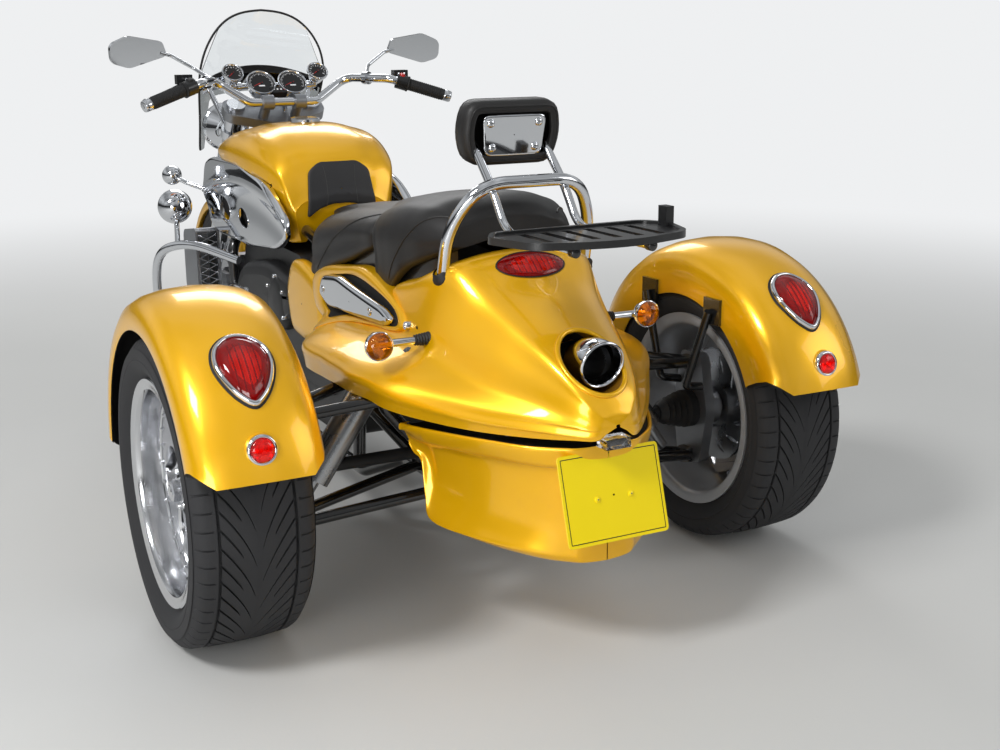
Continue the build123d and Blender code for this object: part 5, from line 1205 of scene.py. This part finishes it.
# Screen: black trim round the edge and a dark band across it
SCREEN_TOP = Vector((0, -691, 1286))
SCREEN_LEAN = radians(24)
SCREEN_BEND, SCREEN_HALF = 330, 196
screen_down = Vector((0, -sin(SCREEN_LEAN), -cos(SCREEN_LEAN)))
screen_front = Vector((0, -cos(SCREEN_LEAN), sin(SCREEN_LEAN)))


def on_screen(u, v, height):
    """u runs across the bent sheet, v down it. Height is measured from its front."""
    bend = SCREEN_BEND - sqrt(max(SCREEN_BEND ** 2 - u ** 2, 0))
    return SCREEN_TOP + u * RIGHT + v * screen_down + (height - bend) * screen_front


trim = Build()
half = [(0, -4), (62, 2), (110, 18), (150, 50), (180, 96), (196, 150), (198, 200), (194, 260), (186, 340),
        (181, 418), (178, 438)]
half = smooth_outline(half, 5, False)
edge = [(-u, v) for u, v in reversed(half)] + half[1:]
trim.tube([on_screen(u, v + 1, -2) for u, v in edge], 3.4, 10)
band = []
for k in range(41):
    u = -SCREEN_HALF + 2 * SCREEN_HALF * k / 40
    drop = 26 * (u / SCREEN_HALF) ** 2
    band.append([on_screen(u, v + drop, height)
                 for v, height in ((176, -5.4), (176, -4.2), (204, -4.2), (204, -5.4), (176, -5.4))])
trim.grid(band)
trim.make("screen_trim", "rubber", "steering", sharp=40)

# Switches, bar ends and small fittings on the bars
bar_end, grip_inner = Vector((449, -325, 1033)), Vector((285, -374, 1086))
grip_way = (bar_end - grip_inner).normalized()
fit = Build()
for side, _ in SIDES:
    turn = facing(mirror(side) @ bar_end, mirror(side) @ grip_way)
    for k in range(17):
        along = -116 + 6 * k
        fit.lathe([(along, 17.1), (along + 0.8, 18.1), (along + 2.6, 18.1), (along + 3.4, 17.1)], 28, "z",
                  move=turn)
    fit.lathe([(-124, 17), (-123, 22.5), (-119, 23), (-117, 18)], 28, "z", move=turn)
    fit.lathe([(-8, 15.8), (-6, 17), (9, 17), (13, 15.5), (15, 12), (15.4, 0.3)], 32, "z", mark=1, move=turn)
    fit.lathe([(15.4, 5), (17, 4.4), (17.2, 0.3)], 6, "z", mark=1, move=turn)
    box = facing(mirror(side) @ (bar_end - 140 * grip_way), (0, 0.35, 0.94))
    fit.lathe([(18, 9), (25, 8.4), (27, 6.5), (27.4, 0.3)], 20, "z", mark=2 if side < 0 else 0, move=box)
    for shift in (-9, 9):
        fit.prism(3.2, 20, 25, 6, "z", 1, mark=1, move=box @ at(shift, 9))
fit.make("grip_ribs_and_buttons", "rubber", "steering", marks=("chrome", "red_button"), sharp=40)


# Bars and rails with even bends
def bent(points, share=0.45, steps=8):
    """A path whose corners are rounded over a share of their shorter side."""
    points = [Vector(p) for p in points]
    out = [points[0]]
    for before, here, after in zip(points, points[1:], points[2:]):
        reach = share * min((here - before).length, (after - here).length)
        out += corner(before, here, after, reach, steps)
    return out + [points[-1]]


STAY_RADIUS = 9
rail = Build()
half_hoop = [(170, 942, 728), (167, 968, 838), (112, 1012, 926)]
hoop = half_hoop + [(-x, y, z) for x, y, z in reversed(half_hoop)]
rail.tube(bent(hoop, 0.48, 12), 13, 20)
for side, _ in SIDES:
    stay = [(side * 83, 914, 1000), (side * 84, 1006, 912), (side * 84, 1062, 832), (side * 84, 1330, 830)]
    rail.tube(bent(stay, 0.42), STAY_RADIUS, 16)
    rail.lathe([(-10, 10.5), (4, 10.5), (7, 8), (8, 0.3)], 20, "z", mark=1,
               move=facing((side * 84, 1330, 830), (0, 1, 0)))
    foot = facing((side * 170, 942, 735), (side * 0.615, 0.11, 0.78))
    rail.lathe([(-12, 23), (-3, 24), (2, 22.5), (6, 19), (12, 16), (14, 13)], 32, "z", mark=2, move=foot)
rail.tube([(-84, 1200, 829), (84, 1200, 829)], STAY_RADIUS - 1, 14)
REST_BACK = 28.5
rest_plate = softened([(-66, -44), (66, -44), (74, 40), (-74, 40)], 16, 10, 5)
pillow(rail, rest_plate, [(3, -2.6), (0, -1), (0, 1.6), (1, 2.6), (4, 2.9)],
       lambda u, v, height: on_rest(u, v, REST_BACK + height))
for u, v in ((-50, -27), (50, -27), (56, 24), (-56, 24)):
    turn = REST_PLACE @ at(u, REST_BACK, v, (-90, 0, 0))
    rail.lathe([(1, 9.4), (3.2, 9.2), (6.4, 7), (8, 3.6), (8.4, 0.3)], 24, "z", move=turn)
rail.make("rail_and_stays", "chrome", "chassis", ["grab_rail"], marks=("black_paint", "rubber"), sharp=45)

bars = Build()
GUARD = [(168, -500, 556), (275, -650, 600), (342, -790, 560), (342, -850, 420), (310, -820, 240),
         (176, -520, 200)]
for side, _ in SIDES:
    bars.tube([mirror(side) @ p for p in bent(GUARD, 0.46, 10)], 14, 20)
    turn = facing((side * 270, -827, 690), (0, 1, 0))
    bars.lathe([(0, 48), (-3, 50), (-3, 53), (1, 54.4), (8, 54.4), (12, 52.6), (16, 51.6), (28, 48), (40, 40),
                (49, 28), (54, 14), (55.4, 0.3)], 48, "z", move=turn)
    bars.lathe([(50, 9), (60, 8.4), (62, 6.4), (62.4, 0.3)], 20, "z", mark=1, move=turn)
    bars.tube(bent([(side * 274, -797, 655), (side * 286, -752, 628), (side * 300, -702, 583)]), 8, 14)
bars.make("crash_bars_and_lamp_shells", "chrome", "chassis", ["crash_bars"], marks=("rubber",), sharp=45)


# Side panels: rounded covers below the rider's seat
def swollen(build, outline, levels, side, base, mark=0, swell=0.0, middle=(0, 0), spread=1.0):
    """A cushioned plate on the vehicle's side, its face a little domed."""
    def place(y, z, height):
        rise = swell * max(0, 1 - ((y - middle[0]) / spread) ** 2 - ((z - middle[1]) / spread) ** 2)
        return Vector((side * (base + height + (rise if height > 0 else 0)), y, z))
    pillow(build, outline, levels, place, mark=mark, fill_rings=8)


panels = Build()
PANEL = softened([(10, 560), (40, 450), (150, 440), (292, 455), (292, 600), (215, 632), (130, 650),
                  (60, 645)], 34, 12, 6)
for side, _ in SIDES:
    swollen(panels, PANEL, [(2, -14), (0, -10), (0, 2), (2, 7), (7, 11), (16, 14), (30, 15.5)], side, 182,
            swell=7, middle=(155, 545), spread=150)
panels.make("side_panel_skins", "body_paint", "chassis", ["side_panels"], sharp=50)

# Engine covers: black cases, a domed round cover and a bright ribbed cover
cases = Build()
COVER_SEAT = 148
LEFT_CASE = softened([(-470, 330), (240, 300), (250, 420), (-20, 470), (-470, 520)], 34, 22, 5)
RIGHT_CASE = softened([(-470, 240), (240, 240), (250, 400), (-60, 430), (-470, 430)], 34, 22, 5)
for side, shape, centre in ((1, LEFT_CASE, (-85, 505, 82, 52)), (-1, RIGHT_CASE, (60, 320, 84, 40))):
    swollen(cases, shape, [(0, 0), (0, 9), (2, 13), (7, 14.6)], side, COVER_SEAT)
    y, z, radius, depth = centre
    cases.lathe([(0, radius), (0.5 * depth, radius), (0.66 * depth, 0.97 * radius),
                 (0.86 * depth, 0.86 * radius), (0.97 * depth, 0.66 * radius), (depth, 0.45 * radius),
                 (depth + 2, 0.2 * radius), (depth + 2.4, 0.3)], 56, "x",
                move=at(side * COVER_SEAT, y, z) @ mirror(side))
    for k in range(6):
        bolt = at(side * COVER_SEAT, y, z) @ on_circle((k + 0.5) / 6, 0.86 * radius)
        cases.lathe([(0.7 * depth, 6), (0.9 * depth + 4, 6), (0.9 * depth + 6, 4), (0.9 * depth + 6.2, 0.2)],
                    12, "x", mark=1, move=bolt @ mirror(side))
BIG_COVER = softened([(-467, 515), (-380, 575), (-172, 606), (20, 580), (64, 535), (20, 470), (-120, 430),
                      (-318, 409), (-440, 430)], 60, 16, 6)
swollen(cases, BIG_COVER, [(0, 0), (0, 22), (3, 32), (9, 40), (20, 45), (40, 48)], 1, COVER_SEAT)
LOZENGE = softened([(-530, 430), (-320, 450), (-320, 508), (-530, 488)], 26, 10, 6)
swollen(cases, LOZENGE, [(0, 0), (0, 42), (1.5, 47), (6, 49.5), (10, 49)], 1, COVER_SEAT, mark=1)
for k in range(7):
    y = -506 + 27 * k
    low, high = 440 + 0.095 * (y + 530), 478 + 0.095 * (y + 530)
    cases.tube([(COVER_SEAT + 49, y, low + 3), (COVER_SEAT + 52, y, (low + high) / 2),
                (COVER_SEAT + 49, y, high - 3)], 4.6, 10, mark=1)
    # Thin black lines between the ribs: painted shade in the grooves
    cases.tube([(COVER_SEAT + 49.2, y + 13.5, low + 5), (COVER_SEAT + 49.2, y + 13.5, high - 5)], 2.0, 6,
               mark=2)
cases.make("engine_cover_cases", "engine_black", "chassis", ["engine_covers"],
           marks=("chrome", "painted_hole_shade"), sharp=50)

# A dark base that the two seats rest on
base = Build()
SEAT_BASE = [(70, 118, 590, 700), (160, 146, 590, 720), (300, 162, 592, 748), (480, 168, 620, 770),
             (640, 166, 640, 785), (760, 164, 655, 790), (850, 150, 690, 800), (915, 120, 720, 810)]
base.grid([[(x, y, low), (x, y, high), (-x, y, high), (-x, y, low)] for y, x, low, high in SEAT_BASE],
          closed=True)
base.make("seat_base", "black_paint", "chassis", sharp=40)


# Camera, lights and floor
CAMERA_PLACE = (1331.6, 3412.7, 1226.0)
YAW, PITCH, ROLL = (radians(a) for a in (27.65, 14.47, -0.44))
ahead = Vector((-sin(YAW) * cos(PITCH), -cos(YAW) * cos(PITCH), -sin(PITCH)))
right = ahead.cross(Vector((0, 0, 1))).normalized()
up = right.cross(ahead)
right, up = cos(ROLL) * right + sin(ROLL) * up, cos(ROLL) * up - sin(ROLL) * right
lens = bpy.data.cameras.new("camera")
lens.sensor_width = 36
lens.lens = 48.241
camera = bpy.data.objects.new("camera", lens)
turned = Matrix((right, up, -ahead)).transposed().to_4x4()
camera.matrix_world = Matrix.Translation(Vector(CAMERA_PLACE) * MM) @ turned
bpy.context.scene.collection.objects.link(camera)
bpy.context.scene.camera = camera


def lamp(name, place, target, size, power):
    light = bpy.data.lights.new(name, "AREA")
    light.shape = "RECTANGLE"
    light.size, light.size_y = size
    light.energy = power
    holder = bpy.data.objects.new(name, light)
    holder.location = place
    holder.rotation_mode = "QUATERNION"
    holder.rotation_quaternion = (Vector(target) - Vector(place)).to_track_quat("-Z", "Y")
    bpy.context.scene.collection.objects.link(holder)


lamp("key_light", (4.2, 2.2, 4.8), (0, 0.2, 0.5), (1.4, 1.4), 200)
lamp("fill_light", (-3.6, 3.4, 2.6), (0, 0.3, 0.6), (2.6, 2.0), 34)
lamp("back_light", (-1.5, -4.5, 3.6), (0, -0.3, 0.7), (3.0, 1.6), 70)
lamp("low_light", (2.4, 2.9, 0.9), (-0.5, 0.8, 0.4), (1.2, 0.8), 26)

# World: pale where it is seen directly, a plain studio with a darker horizon where it lights and shines
BACKDROP = (0.86, 0.87, 0.88, 1)
world = bpy.data.worlds.new("studio")
bpy.context.scene.world = world
world.use_nodes = True
sky = world.node_tree
sky.nodes.clear()
out = new_node(sky, "OutputWorld")
seen = new_node(sky, "Background", Color=BACKDROP)
shine = new_node(sky, "Background", Strength=0.72)
way = new_node(sky, "TexCoord")
split = new_node(sky, "SeparateXYZ")
ramp = new_node(sky, "ValToRGB")
bands = [(0.0, 0.30), (0.46, 0.22), (0.50, 0.05), (0.56, 0.06), (0.60, 0.55), (0.70, 0.95), (0.82, 0.62),
         (1.0, 1.0)]
while len(ramp.color_ramp.elements) < len(bands):
    ramp.color_ramp.elements.new(0.5)
for element, (place, grey) in zip(ramp.color_ramp.elements, bands):
    element.position = place
    element.color = (grey * 0.96, grey * 0.985, grey, 1)
halved = new_node(sky, "Math", {"operation": "MULTIPLY_ADD"})
halved.inputs[1].default_value = halved.inputs[2].default_value = 0.5
cloud = new_node(sky, "TexNoise", Scale=2.2, Detail=3)
strength = new_node(sky, "MapRange", From_Min=0.38, From_Max=0.62, To_Min=0.45, To_Max=1.0)
patches = new_node(sky, "VectorMath", {"operation": "SCALE"})
path = new_node(sky, "LightPath")
either = new_node(sky, "Math", {"operation": "MAXIMUM"})
mixed = new_node(sky, "MixShader")
wire(sky, (way, "Generated", split, 0), (split, "Z", halved, 0), (halved, 0, ramp, "Fac"),
     (way, "Generated", cloud, "Vector"), (cloud, "Fac", strength, "Value"), (ramp, "Color", patches, 0),
     (strength, "Result", patches, "Scale"), (patches, "Vector", shine, "Color"),
     (path, "Is Camera Ray", either, 0), (path, "Is Transmission Ray", either, 1), (either, 0, mixed, "Fac"),
     (shine, 0, mixed, 1), (seen, 0, mixed, 2), (mixed, 0, out, "Surface"))

# Floor: pale, and fading into the backdrop far from the object
FLOOR = 30
floor_mesh = bpy.data.meshes.new("floor")
floor_mesh.from_pydata([(-FLOOR, -FLOOR, 0), (FLOOR, -FLOOR, 0), (FLOOR, FLOOR, 0), (-FLOOR, FLOOR, 0)], [],
                       [(0, 1, 2, 3)])
floor_look = material("pale_floor", (206, 206, 204), 0.75, vary=0.03, vary_scale=1.5, bump=0.3,
                      grain_scale=120)
tree = floor_look.node_tree
spot = new_node(tree, "TexCoord")
far = new_node(tree, "VectorMath", {"operation": "LENGTH"})
fade = new_node(tree, "MapRange", {"interpolation_type": "SMOOTHSTEP"}, From_Min=1.8, From_Max=6.5)
glow = new_node(tree, "Emission", Color=BACKDROP)
ray = new_node(tree, "LightPath")
shown = new_node(tree, "Math", {"operation": "MULTIPLY"})
blend = new_node(tree, "MixShader")
wire(tree, (spot, "Object", far, 0), (far, "Value", fade, "Value"), (fade, "Result", shown, 0),
     (ray, "Is Camera Ray", shown, 1), (shown, 0, blend, "Fac"), (tree.nodes["Principled BSDF"], 0, blend, 1),
     (glow, 0, blend, 2), (blend, 0, tree.nodes["Material Output"], "Surface"))
floor_mesh.materials.append(floor_look)
floor = bpy.data.objects.new("floor", floor_mesh)
bpy.context.scene.collection.objects.link(floor)

bpy.context.scene.view_settings.view_transform = "Standard"
